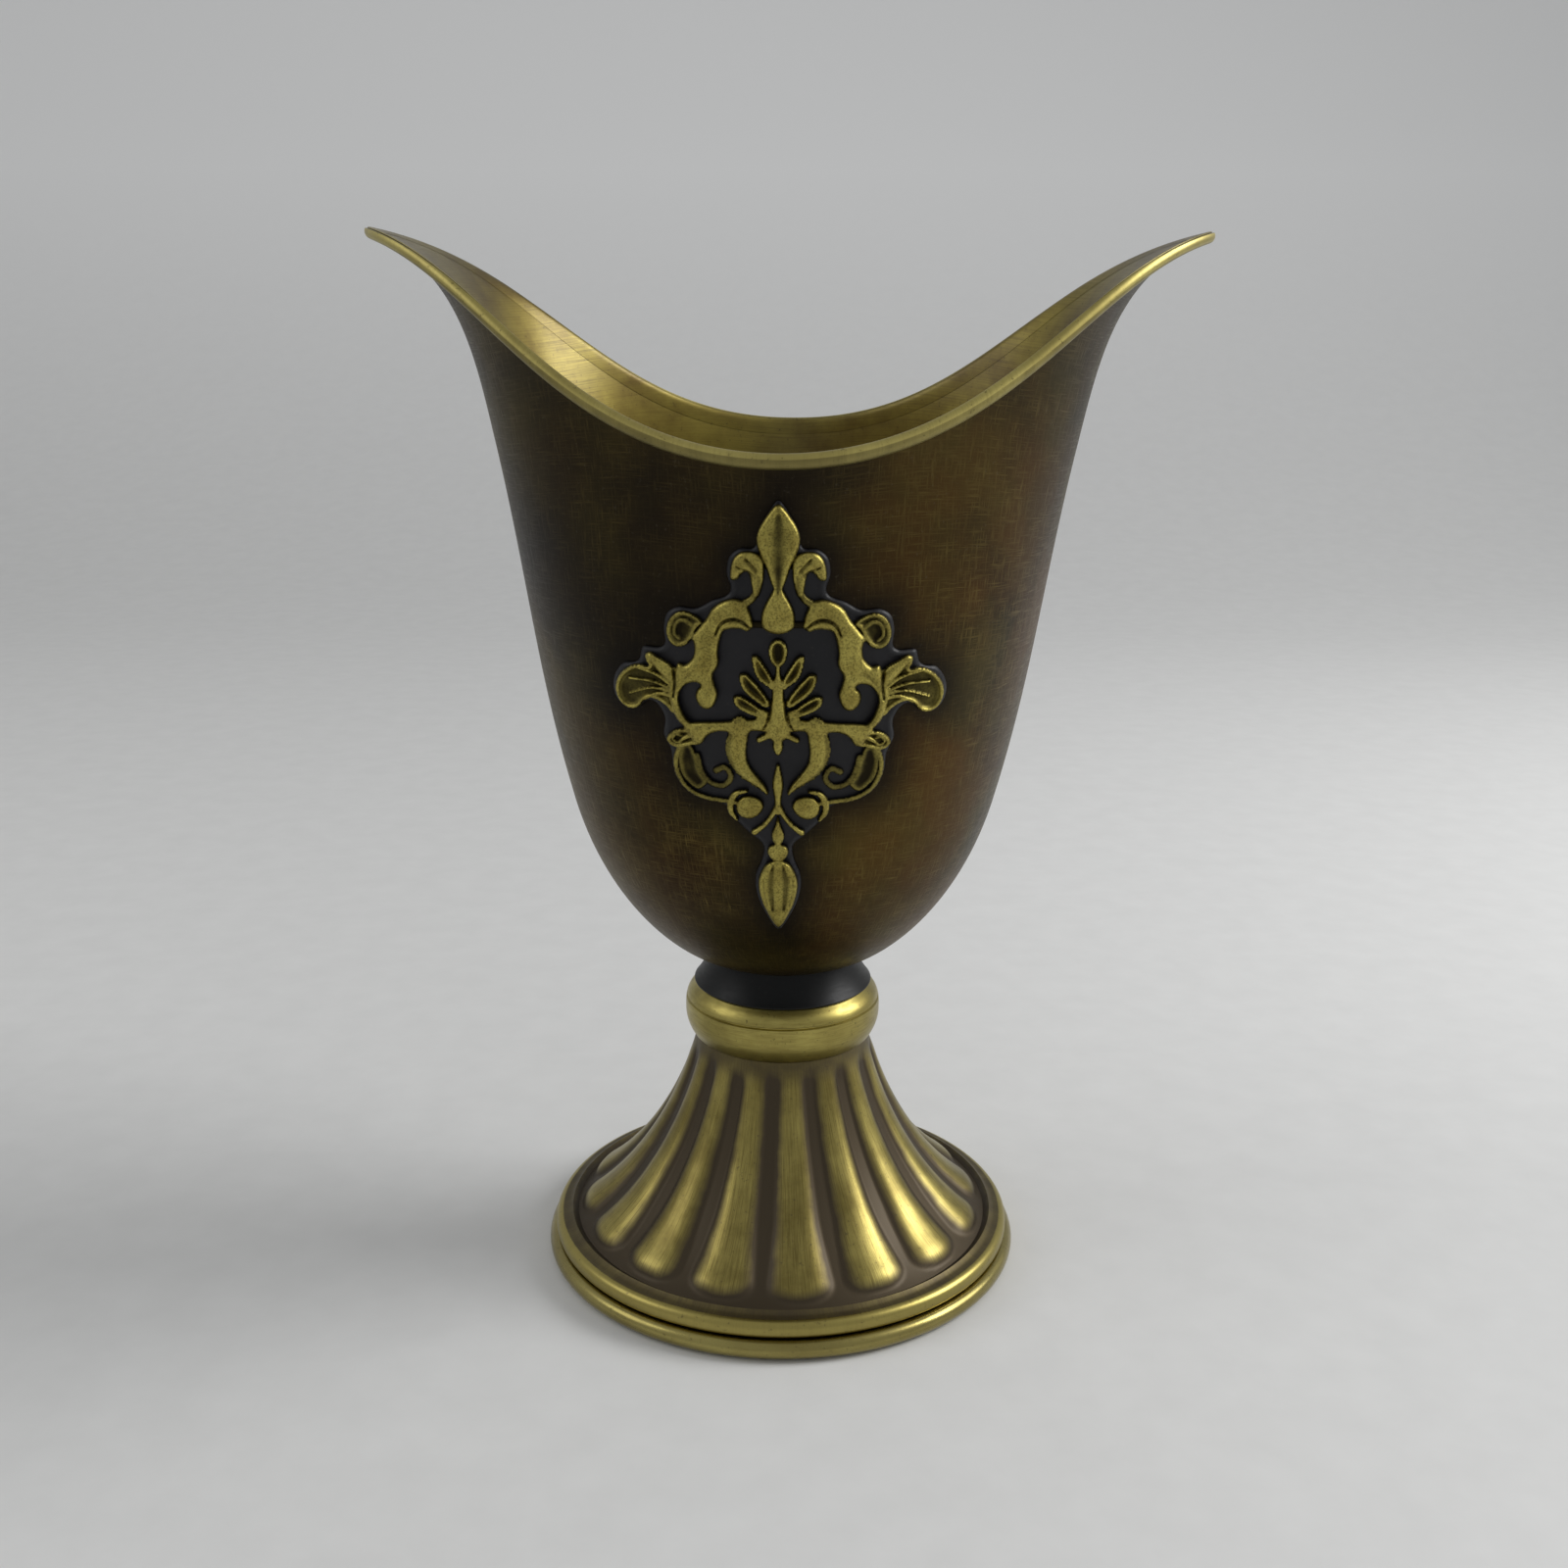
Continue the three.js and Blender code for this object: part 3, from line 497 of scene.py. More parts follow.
def depth_inside(x, z, edge):
    """How far places lie inside a closed outline; negative outside."""
    nearest = np.full(x.shape, 1e9)
    within = np.zeros(x.shape, bool)
    for a, b in zip(edge, np.roll(edge, -1, 0)):
        nearest = np.minimum(nearest, beside(x, z, a, b)[1])
        if abs(b[1] - a[1]) > 1e-9:
            crossed_at = a[0] + (z - a[1]) * (b[0] - a[0]) / (b[1] - a[1])
            within ^= ((a[1] > z) != (b[1] > z)) & (x < crossed_at)
    return np.where(within, nearest, -nearest)


# The outline of the medallion's plate, which the patina darkens towards.
plate_outline = symmetric([
    (0, 238.6), (3.6, 234.5), (6.0, 229.5), (6.4, 226.9), (9.5, 226.7), (12.6, 224.2), (13.5, 219.7),
    (12.6, 215.4), (16.6, 213.5), (20.4, 211.4), (25.2, 211.4), (28.4, 209.3), (29.5, 205.0), (29.4, 201.0),
    (34.8, 200.3), (36.3, 196.4), (40.0, 195.4), (42.8, 191.9), (43.6, 187.8), (42.4, 184.0), (39.2, 181.7),
    (35.6, 182.3), (32.5, 184.7), (29.9, 181.6), (30.2, 176.6), (28.4, 172.3), (27.9, 167.4), (25.3, 162.0),
    (19.6, 158.9), (14.0, 157.6), (11.6, 153.9), (7.7, 149.8), (4.7, 147.0), (5.0, 143.4), (6.7, 138.6),
    (6.7, 133.2), (4.7, 126.5), (0, 119.0)])

rows_up = [*bezier(bowl, np.linspace(0, 1, 29))[:, 1], *np.linspace(bowl[-1][1], level_top, 40)[1:]]
lip_rows = 1 - (1 - np.linspace(0, 1, 31)[1:]) ** lip_gathered
row_count = len(rows_up) + len(lip_rows)
# The rows of the sheet stand at spare places here, and are moved to the cup's shape once they are spun.
spare_radius, spare_height = 50, 100
section = [(bolt_hole, cup_seat, 0, 2),
           *((spare_radius + k, spare_height + k, k, 0) for k in range(row_count)),
           *((spare_radius - 1 + k, spare_height + 1 + k, k, 1) for k in range(row_count - 1, 0, -1)),
           (cup_floor - floor_step, cup_seat + sheet, 0, 2), (bolt_hole, cup_seat + sheet, 0, 2)]
shape = turned(section, cup_columns, marks=("row", "side", "halo"))
row_of, side_of, halo_of = marked(shape, "row", "side", "halo")
sheet_verts = [vert for vert in shape.verts if vert[side_of] < 1.5]
row = np.rint([vert[row_of] for vert in sheet_verts]).astype(int)
inside = np.array([vert[side_of] > 0.5 for vert in sheet_verts])
angle = cup_angles(np.array([turn_of(vert) for vert in sheet_verts]))
fixed = np.array([*rows_up, *([level_top] * len(lip_rows))])[row]
lifted = np.array([*([0.0] * len(rows_up)), *lip_rows])[row]
height = fixed + lifted * (rim_height(angle) - level_top)
places = on_cup(angle, height, np.where(inside, -sheet, 0.0))
near_plate = depth_inside(places[:, 0], places[:, 2], plate_outline)
facing = (places[:, 1] < 0) & ~inside
halo = np.where(facing, np.clip(1 + near_plate / halo_reach, 0, 1) ** halo_fade, 0)
for vert, spot, dark in zip(sheet_verts, places, halo):
    vert.co = spot * mm
    vert[halo_of] = dark
for face in shape.faces:
    face.material_index = int(sum(vert[side_of] for vert in face.verts) > 2)
bmesh.ops.recalc_face_normals(shape, faces=shape.faces)

patina_look, tree, shader, where = started("cup_patina", Metallic=1.0)
age = used(tree, ageing)
brush = used(tree, strokes, Width=0.42, Length=6.0)
place = node("ShaderNodeSeparateXYZ", {0: where})
broad = ranged(clouded(where, 22, 3, 0.5), 0.36, 0.64)
elsewhere = vector("ADD", {0: where, 1: (0.31, 0.17, 0.05)})[0]
second = ranged(clouded(elsewhere, 26, 4, 0.55), 0.40, 0.62)
redder = ranged(place["X"], -0.04, 0.04, 0.35, 0.80)
crossed = reckon("MAXIMUM", *(ranged(brush[way], 0.50, 0.70) for way in ("Along", "Round")))
strength = ranged(age["Ripple"], 0.35, 0.70, 0.20, 0.80)
# The outside is made darker towards its upper left, less so where the broad patches are light.
upper = ranged(reckon("MULTIPLY_ADD", place["X"], -0.6, place["Z"]), 0.160, 0.235)
darker_upper_left = reckon("MULTIPLY", upper, ranged(broad, 0.0, 1.0, 1.0, 0.45))
colour = tinted(broad, (0.020, 0.015, 0.008), (0.082, 0.062, 0.017))
for over, mask, share in (((0.086, 0.042, 0.012), second, redder), ((0.150, 0.108, 0.032), crossed, strength),
                          ((0.020, 0.016, 0.011), darker_upper_left, 0.85),
                          ((0.013, 0.011, 0.009), painted(tree, "halo"), 0.88),
                          ((0.20, 0.18, 0.13), age["Specks"], 0.10)):
    colour = laid(colour, over, mask, share)
dressed(shader, colour, ranged(crossed, 0.0, 1.0, 0.46, 0.36),
        bumped(crossed, 0.12, 0.05, bumped(age["Ripple"], 0.10, 0.3)))
inside_look = brassy("cup_inside", (0.245, 0.193, 0.036), (0.062, 0.031, 0.004), (0.04, 0.023, 0.007), 0.44,
                     brushed=0.3, patch=40.0, lacquer=0.5)
cup = finished(shape, "cup", [patina_look, inside_look], crease=50)
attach(cup, "root")
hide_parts("cup_shell")

# Rim binding: brass wire, slotted along its underside, pressed over the raw edge of the sheet all the way
# round and soldered. Solder runs it out onto the cup's inside, where it has aged like the cup. A fine groove
# follows its upper inner side, and its top is rubbed bright.
bead_radius, inner_share, slot_half, solder_run = 2.0, 0.5, 0.85, 3.4
bead_groove, groove_at, groove_half, inner_from = 0.42, 118.0, 15.0, -0.78
under_from, under_to, under_wear, groove_wear = 250, 25, 0.45, 1.2
bead_columns, bead_spun, turn_step, way_down, run_power = 320, 40, 0.01, 1.5, 1.5
mouth_of = math.degrees(math.acos(slot_half / bead_radius))
section = []
for a in np.linspace(mouth_of, -180, 31):
    up = -a % 360
    dip = max(0.0, 1 - ((up - groove_at) / groove_half) ** 2)
    r = bead_radius - bead_groove * dip
    out, down = r * math.cos(math.radians(a)), r * math.sin(math.radians(a))
    out *= inner_share if out < 0 else 1
    section.append((out, down, under_wear if up > under_from or up < under_to else 1 - groove_wear * dip))
for lower in np.linspace(0, 1, 9)[1:]:
    out = -bead_radius * inner_share + (bead_radius * inner_share - slot_half) * lower ** run_power
    section.append((out, solder_run * lower, hidden_wear))
section += [(-slot_half, -snug, hidden_wear), (slot_half, -snug, hidden_wear)]
# The section is spun at a spare radius, then moved to the rim's line by how far out and down it lies.
shape = turned([(bead_spun + out, -down, out, down, wear_and_painted_light) for out, down, wear_and_painted_light in section], bead_columns,
               marks=("out", "down", "wear_and_painted_light"))
out_of, down_of = marked(shape, "out", "down")
for face in shape.faces:
    middle_out = sum(vert[out_of] for vert in face.verts) / len(face.verts)
    face.material_index = int(middle_out < inner_from)
angle = cup_angles(np.array([turn_of(vert) for vert in shape.verts]))


def rim_line(at):
    return on_cup(at, rim_height(at), -sheet / 2)


centre = rim_line(angle)
along = rim_line(angle + turn_step) - rim_line(angle - turn_step)
along /= np.linalg.norm(along, axis=1)[:, None]
down = on_cup(angle, rim_height(angle) - way_down, -sheet / 2) - centre
down -= (down * along).sum(1)[:, None] * along
down /= np.linalg.norm(down, axis=1)[:, None]
outward = np.cross(down, along)
for vert, a, b, c in zip(shape.verts, centre, outward, down):
    vert.co = (a + b * vert[out_of] + c * vert[down_of]) * mm
bmesh.ops.recalc_face_normals(shape, faces=shape.faces)
rim_look = brassy("rim_brass", (0.47, 0.40, 0.125), (0.28, 0.225, 0.064), (0.05, 0.038, 0.016), 0.42,
                  wear_and_painted_light="wear_and_painted_light", lacquer=0.3)
binding = finished(shape, "binding", [rim_look, inside_look], crease=55)
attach(binding, "root")
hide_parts("rim_bead")

# Medallion plate: thin brass plate pressed to the curve of the cup's front, cut to the outline of the
# ornament and soldered on. It is blackened smooth, with a softly raised edge along which a paler line is
# painted as a painted sheen.
plate_low, plate_high, plate_trim = 0.3, 1.2, 0.9
face_sink, edge_fall, edge_width = 0.15, 0.55, 0.7
# The last two values are the plate's base level and the rise of a paler line painted along its raised edge:
# painted sheen.
brow_at, brow_half, brow_rise, plate_sheen, brow_sheen = 0.9, 0.5, 0.22, 0.12, 0.5


def front_place(x, z, offset):
    """Places on the front of the cup that lie straight behind the drawing, set off from the sheet."""
    angle = front + np.arcsin(np.clip(x / round_radius(z), -0.99, 0.99))
    height = z.copy()
    for _ in range(6):
        spot = on_cup(angle, height, offset)
        angle = angle + (x - spot[:, 0]) / np.maximum(-spot[:, 1], 1)
        height = height + z - spot[:, 2]
    return on_cup(angle, height, offset)


def pressed(cell, drawing, bottom):
    """A closed plate on the cup's front. The drawing gives, for places on it, how far they lie inside the
    outline, how high the plate's face stands off the cup, and its wear. On the medallion's plate that last
    value is a painted sheen, and on the ornament it also holds painted shade."""
    half_wide, low, high = 45.0, 117.0, 240.0
    near, longest = 0.05, 0.4
    shape = bmesh.new()
    across, upward = round(2 * half_wide / cell), round((high - low) / cell)
    bmesh.ops.create_grid(shape, x_segments=across, y_segments=upward, size=1)

    def places():
        spots = np.array([vert.co[:2] for vert in shape.verts])
        return spots[:, 0] * half_wide, low + (spots[:, 1] + 1) / 2 * (high - low)

    keep = drawing(*places())[0] > -cell / 2
    shape.verts.ensure_lookup_table()
    outside = [face for face in shape.faces if not all(keep[vert.index] for vert in face.verts)]
    bmesh.ops.delete(shape, geom=outside, context="FACES")
    loose = [vert for vert in shape.verts if not vert.link_faces]
    bmesh.ops.delete(shape, geom=loose, context="VERTS")
    x, z = places()
    edge = np.array([any(side.is_boundary for side in vert.link_edges) for vert in shape.verts])
    for _ in range(3):
        ex, ez = x[edge], z[edge]
        gx = (drawing(ex + near, ez)[0] - drawing(ex - near, ez)[0]) / (2 * near)
        gz = (drawing(ex, ez + near)[0] - drawing(ex, ez - near)[0]) / (2 * near)
        size = np.maximum(np.hypot(gx, gz), longest)
        step = np.clip(drawing(ex, ez)[0] / size, -longest, longest)
        x[edge], z[edge] = ex - step * gx / size, ez - step * gz / size
    _, face_height, worn_and_painted_light = drawing(x, z)
    shape.verts.layers.float.new("wear_and_painted_light")
    order_of, wear_and_painted_light_of = shape.verts.layers.int.new("order"), shape.verts.layers.float["wear_and_painted_light"]
    bottoms = front_place(x, z, np.full(x.shape, bottom))
    for k, (vert, value, spot) in enumerate(zip(shape.verts, worn_and_painted_light, bottoms)):
        vert.co = spot * mm
        vert[wear_and_painted_light_of] = value
        vert[order_of] = k
    tops = front_place(x, z, face_height)
    raised = bmesh.ops.extrude_face_region(shape, geom=shape.faces[:], use_keep_orig=True)["geom"]
    for vert in raised:
        if isinstance(vert, bmesh.types.BMVert):
            vert.co = tops[vert[order_of]] * mm
    bmesh.ops.recalc_face_normals(shape, faces=shape.faces)
    return shape


def hump(value, at, half):
    return np.exp(-((value - at) / half) ** 2)


def plate_drawing(x, z):
    deep = depth_inside(x, z, plate_outline) - plate_trim
    brow = hump(deep, brow_at, brow_half)
    fall = edge_fall * np.clip(1 - deep / edge_width, 0, 1) ** 2
    # The third value is a painted sheen along the raised edge.
    return deep, plate_high - face_sink - fall + brow_rise * brow, plate_sheen + brow_sheen * brow


ground_look, tree, shader, where = started("ground_black", Metallic=0.0, Specular_IOR_Level=0.28)
age = used(tree, ageing)
colour = tinted(age["Patches"], (0.006, 0.006, 0.0075), (0.011, 0.010, 0.012))
# The black is painted paler where that value is high, along the raised edge: painted sheen.
colour = tinted(ranged(painted(tree, "wear_and_painted_light"), 0.2, 0.9), colour, (0.020, 0.021, 0.023))
dressed(shader, laid(colour, (0.035, 0.030, 0.022), age["Specks"], 0.4),
        ranged(age["Ripple"], 0.3, 0.7, 0.38, 0.50), bumped(age["Ripple"], 0.10, 0.2))
plate = finished(pressed(0.62, plate_drawing, plate_low), "plate", [ground_look], crease=60)
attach(plate, "root")
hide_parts("medallion_ground")

# Medallion ornament: cast brass openwork of scrolls, leaves and a palmette under an arch, soldered on the
# plate. The casting is rubbed after blackening: crests and rims are brass, hollows stay dark. The middles
# of the rounded leaves are painted a little darker, as painted shade.
ornament_low, ornament_base = 1.25, 1.3
edge_rise, least_rise = 0.6, 0.35
# The third to fifth values paint the middles of the rounded leaves darker, by a share from a depth over a
# width: painted shade.
leaf_round, leaf_edge, leaf_middle_shade, middle_shade_from, middle_shade_over = 1.9, 0.45, 0.32, 0.8, 1.2
web_rise, brow_inner, brow_middle, brow_wide, ridge_at = 0.7, 0.6, 0.65, 0.62, 0.25


def dome(q):
    return np.sqrt(np.clip(1 - q * q, 0, 1))


def follow(x, z, points, per_span=5):
    """Places against a stem: depth inside it, and distance off its middle as a share of its half width,
    negative on its left."""
    run = flowing(points, False, per_span)
    deep, off = np.full(x.shape, -1e9), np.ones(x.shape)
    for a, b in zip(run, run[1:]):
        t, away = beside(x, z, a, b)
        half = (a[2] + t * (b[2] - a[2])) / 2
        better = half - away > deep
        left = np.where((x - a[0]) * (b[1] - a[1]) - (z - a[1]) * (b[0] - a[0]) < 0, -1.0, 1.0)
        deep = np.where(better, half - away, deep)
        off = np.where(better, left * away / np.maximum(half, 0.05), off)
    return deep, off


def leaf_face(deep, tall, shine):
    """A rounded leaf, rubbed brightest along its edge, with painted shade that darkens its middle a little.
    """
    top = dome(1 - np.clip(deep / leaf_round, 0, 1))
    rub_and_shade = np.clip(deep / leaf_edge, 0, 1) * (1 - leaf_middle_shade * np.clip((deep - middle_shade_from) / middle_shade_over, 0, 1))
    return edge_rise + (tall - edge_rise) * top, shine * (0.15 + 0.85 * rub_and_shade)


def rimmed_face(deep, tall, shine, web=0.05):
    """A raised bright rim round a sunk field, the web, which is as dark as its wear is low."""
    brow = np.where(deep < brow_inner, np.clip(deep / 0.3, 0, 1), hump(deep, brow_middle, brow_wide))
    field = edge_rise * web_rise
    return field + (tall - field) * brow, shine * (web + (1 - web) * brow)


def webbed_face(deep, tall, shine):
    return rimmed_face(deep, tall, shine, 0.27)


def round_stem(off, tall, shine):
    top = dome(off)
    return edge_rise + (tall - edge_rise) * top, shine * (0.35 + 0.65 * top)


def ridged_stem(off, tall, shine):
    """A stem whose crest lies towards its right, with a long darker slope on its left."""
    past = off + ridge_at
    top = np.where(past > 0, dome(past / (1 + ridge_at)), 1 - 0.55 * np.clip(-past / (1 - ridge_at), 0, 1))
    rub_and_shade = np.where(past > 0, 0.3 + 0.7 * top, 1 - 0.5 * np.clip(-past / 0.4, 0, 1))
    return edge_rise + (tall - edge_rise) * top, shine * rub_and_shade


# Leaves and bands: outlines of the right half. One that starts on the middle line runs across it.
leaves = [
    ([(0, 236.9), (3.0, 233.8), (5.2, 229.5), (5.0, 226.1), (3.2, 222.1), (1.7, 217.6), (0, 214.6)],
     leaf_face, 2.1, 0.9),
    ([(0, 217.2), (2.5, 213.7), (4.1, 209.8), (3.7, 206.4), (0, 204.9)], leaf_face, 2.4, 1.0),
    ([(0, 203.8), (1.6, 203.0), (2.4, 201.0), (2.1, 198.6), (1.2, 197.0), (0, 196.4)],
     rimmed_face, 1.8, 1.0),
    ([(0, 156.2), (0.8, 153.6), (1.7, 150.8), (1.4, 149.0), (0, 147.4)], leaf_face, 1.7, 0.95),
    ([(0, 148.2), (2.2, 147.4), (2.8, 145.8), (2.2, 144.2), (0, 142.4)], leaf_face, 1.9, 0.95),
    ([(0, 143.4), (2.9, 142.2), (5.0, 137.9), (5.1, 133.9), (3.5, 127.8), (0, 121.7)], leaf_face, 2.2, 0.9),
    ([(4.8, 214.2), (3.8, 217.0), (3.4, 220.1), (3.6, 223.0), (5.2, 225.0), (8.8, 225.2), (10.7, 223.7),
      (11.6, 221.0), (11.5, 218.3), (9.9, 218.4), (8.8, 219.8), (7.6, 220.3), (6.9, 219.1), (6.5, 216.9),
      (5.8, 214.2)], leaf_face, 1.9, 0.9),
    ([(17.6, 208.5), (16.1, 211.0), (13.7, 212.8), (10.8, 213.6), (8.3, 213.0), (7.0, 210.9), (6.2, 208.5),
      (6.1, 206.6), (7.6, 205.5), (9.2, 206.0), (11.3, 206.0), (13.3, 205.4), (14.0, 203.9), (14.5, 201.9),
      (14.8, 199.6), (14.6, 197.6), (15.1, 195.8), (16.1, 194.0), (15.7, 191.7), (15.0, 189.4), (15.5, 187.0),
      (16.8, 185.1), (18.5, 184.9), (20.0, 186.0), (20.7, 187.8), (20.4, 189.6), (19.4, 191.0), (20.4, 191.7),
      (22.4, 191.3), (24.1, 189.8), (25.0, 187.4), (24.5, 184.8), (23.3, 182.3), (21.6, 180.8), (20.1, 179.9),
      (22.1, 179.0), (24.4, 180.1), (26.3, 182.6), (27.2, 185.4), (27.7, 188.5), (27.1, 191.7), (26.0, 194.1),
      (25.0, 196.5), (23.2, 196.3), (22.0, 197.2), (21.0, 198.8), (20.9, 201.8), (21.4, 203.3),
      (19.8, 205.6)], leaf_face, 2.2, 0.9),
    ([(23.9, 180.4), (19.6, 181.4), (14.8, 181.8), (8.6, 182.6), (2.0, 182.7), (2.0, 179.8), (6.7, 179.5),
      (7.9, 177.9), (11.7, 178.3), (13.1, 179.1), (15.6, 178.9), (17.9, 177.6), (19.4, 175.4), (21.0, 175.0),
      (22.2, 176.8), (23.7, 178.8)], leaf_face, 2.0, 0.95),
    ([(5.4, 185.1), (3.5, 185.6), (1.8, 184.1), (2.3, 179.8), (4.7, 179.8), (5.4, 181.9)], leaf_face, 1.5,
     0.75),
    ([(6.4, 199.4), (4.9, 199.3), (3.3, 197.2), (1.9, 194.9), (0.9, 192.6), (1.3, 190.6), (2.8, 191.5),
      (4.9, 193.2), (6.1, 195.8)], rimmed_face, 1.7, 1.0),
    ([(9.6, 194.4), (7.9, 194.8), (5.9, 193.0), (4.1, 190.9), (2.6, 188.7), (1.7, 186.6), (3.2, 186.0),
      (5.8, 187.7), (8.0, 189.5), (9.3, 191.7)], rimmed_face, 1.7, 1.0),
    ([(11.2, 188.5), (9.4, 189.0), (7.1, 187.9), (4.7, 186.2), (3.0, 184.8), (3.7, 183.3), (6.2, 183.7),
      (8.8, 184.8), (10.7, 186.2)], rimmed_face, 1.6, 0.95),
    ([(18.6, 207.4), (21.0, 209.3), (23.7, 209.9), (26.2, 208.7), (27.7, 206.1), (27.8, 203.3), (26.6, 201.2),
      (24.6, 200.6), (22.6, 201.4), (21.1, 203.5), (20.1, 205.6)], webbed_face, 1.2, 0.6),
    ([(25.3, 194.4), (26.3, 195.6), (27.5, 196.5), (30.2, 197.8), (32.2, 198.7), (33.5, 198.0), (33.4, 196.4),
      (32.8, 195.1), (34.7, 195.3), (37.0, 194.8), (39.5, 193.1), (41.4, 190.5), (42.0, 187.8), (41.3, 185.0),
      (39.6, 183.3), (37.5, 182.9), (35.6, 183.7), (34.2, 185.4), (32.6, 186.4), (30.6, 186.1), (28.6, 184.9),
      (26.6, 183.0), (25.5, 186.1)], webbed_face, 1.5, 0.8),
    ([(3.6, 158.9), (4.6, 161.0), (7.1, 161.8), (9.5, 161.2), (10.8, 159.0), (10.3, 156.5), (8.1, 155.2),
      (5.3, 156.1)], leaf_face, 1.9, 0.95),
    ([(19.6, 180.1), (22.1, 179.2), (24.4, 179.2), (26.9, 178.3), (28.6, 175.8), (27.4, 174.1), (25.1, 173.8),
      (22.2, 174.7), (19.9, 175.4)], webbed_face, 1.4, 0.7),
    ([(22.4, 175.0), (20.6, 171.5), (19.8, 167.8), (18.2, 164.6), (20.6, 162.6), (24.4, 165.6), (25.6, 170.4),
      (24.6, 174.6)], webbed_face, 0.9, 0.4),
]
# Stems: their middle line with the width along it, of the right half.
stems = [
    ([(0, 196.8, 1.2), (0, 194.4, 1.5), (0, 191.9, 2.9), (0, 188.7, 3.2), (0, 186.1, 3.8), (0, 182.2, 5.8),
      (0, 180.4, 6.6), (0, 178.8, 4.6), (0, 177.7, 2.0)], round_stem, 2.0, 0.95),
    ([(0.9, 179.4, 2.2), (2.8, 178.3, 1.8), (4.7, 177.3, 1.7)], round_stem, 1.7, 0.9),
    ([(0, 178.4, 1.6), (0, 175.6, 2.8), (0, 173.9, 1.6)], round_stem, 1.7, 0.95),
    ([(9.4, 181.0, 5.0), (10.4, 176.2, 5.4), (10.5, 173.2, 5.2), (9.6, 170.3, 4.5), (7.8, 167.9, 3.6),
      (5.8, 166.1, 2.7), (4.0, 164.5, 1.9), (2.8, 162.8, 1.0)], ridged_stem, 2.1, 0.95),
    ([(0, 170.4, 1.0), (0, 167.5, 2.3), (0, 164.8, 2.9), (0, 162.6, 2.3), (0, 159.8, 1.8), (0, 157.6, 2.2)],
     round_stem, 1.8, 1.0),
    ([(0.2, 158.9, 1.7), (1.8, 155.9, 1.4), (3.8, 153.3, 1.5), (6.1, 151.3, 1.8)], round_stem, 1.6, 1.0),
    ([(8.0, 163.0, 1.0), (10.5, 162.3, 1.6), (12.0, 160.0, 1.9), (12.1, 157.2, 1.8), (10.6, 154.9, 1.0)],
     round_stem, 1.4, 0.85),
    ([(5.2, 215.4, 1.8), (6.4, 213.6, 1.8), (8.2, 212.4, 2.2)], round_stem, 1.3, 0.5),
    ([(2.6, 207.2, 1.6), (7.0, 207.2, 1.6)], round_stem, 0.65, 0.05),
    ([(24.9, 174.6, 1.6), (26.2, 170.9, 1.4), (26.0, 167.1, 1.4), (24.3, 163.7, 1.4), (21.5, 161.5, 1.4),
      (18.0, 160.4, 1.4), (13.0, 159.9, 1.3), (10.0, 159.4, 1.2)], round_stem, 1.0, 0.55),
    ([(20.6, 172.0, 1.6), (19.4, 167.5, 1.6), (17.1, 164.7, 1.6), (13.8, 164.3, 1.6), (12.0, 166.9, 1.6),
      (13.5, 169.3, 1.6), (15.8, 168.3, 1.8)], round_stem, 0.8, 0.35),
]
# What lies on the leaves: lobes and veins, whose outline stays the leaf's own.
veins = [
    ([(25.6, 191.5, 2.6), (28.8, 194.6, 3.2), (32.2, 197.6, 1.8)], 1.8, 0.85),
    ([(26.2, 190.0, 1.3), (30.4, 192.9, 1.0), (35.6, 194.2, 0.7)], 1.6, 0.75),
    ([(26.8, 189.5, 1.1), (31.5, 191.0, 0.9), (38.0, 191.2, 0.7)], 1.5, 0.6),
    ([(26.8, 188.8, 1.2), (31.5, 189.4, 0.9), (38.0, 187.2, 0.7)], 1.5, 0.6),
    ([(26.6, 187.6, 1.3), (30.3, 188.0, 1.1), (34.6, 185.8, 0.9)], 1.5, 0.7),
    ([(19.8, 178.4, 1.8), (22.8, 177.2, 1.3), (24.4, 176.2, 1.0)], 1.5, 0.8),
    ([(24.6, 177.2, 0.8), (26.2, 177.3, 0.8), (26.8, 175.9, 0.8), (25.4, 175.3, 0.8), (24.3, 176.2, 0.8)],
     1.3, 0.65),
    ([(5.2, 158.6, 0.9), (7.2, 159.8, 0.8), (9.0, 158.6, 0.7)], 2.1, 1.0),
    ([(21.4, 206.4, 1.4), (23.4, 207.6, 1.2), (25.4, 206.4, 1.1), (25.8, 204.0, 1.0), (24.6, 202.8, 0.9)],
     1.1, 0.5),
]
# Cuts: grooves between the lobes, with their depth.
cuts = [
    ([(0, 234.0, 1.2), (0, 229.0, 3.4), (0, 222.0, 2.6), (0, 215.5, 1.0)], 0.9),
    ([(5.4, 220.6, 0.9), (8.0, 223.6, 0.6)], 0.7),
    ([(6.2, 219.4, 0.9), (10.2, 221.6, 0.5)], 0.6),
    ([(1.3, 142.0, 0.6), (2.0, 136.5, 1.5), (1.5, 128.0, 0.8)], 0.7),
    ([(3.7, 139.5, 0.4), (3.9, 134.5, 0.7), (2.9, 129.0, 0.4)], 0.4),
    ([(5.2, 213.8, 1.4), (4.6, 216.6, 1.8), (4.6, 219.0, 1.2)], 0.55),
    ([(15.4, 204.4, 0.5), (14.2, 206.9, 0.8), (12.4, 208.2, 0.9), (10.4, 208.5, 0.9), (8.6, 207.8, 0.8),
      (6.4, 206.0, 0.5)], 0.9),
    ([(26.3, 195.6, 0.6), (25.9, 192.0, 0.9), (26.4, 187.5, 0.7)], 0.9),
    ([(2.0, 188.0, 0.5), (2.1, 184.0, 0.7), (3.6, 180.2, 0.6)], 0.8),
    ([(20.9, 195.0, 0.5), (22.6, 193.6, 0.6), (25.2, 190.0, 0.5)], 0.35),
    ([(24.2, 206.6, 0.8), (24.8, 205.0, 1.2), (24.0, 203.6, 0.8)], 0.7),
]


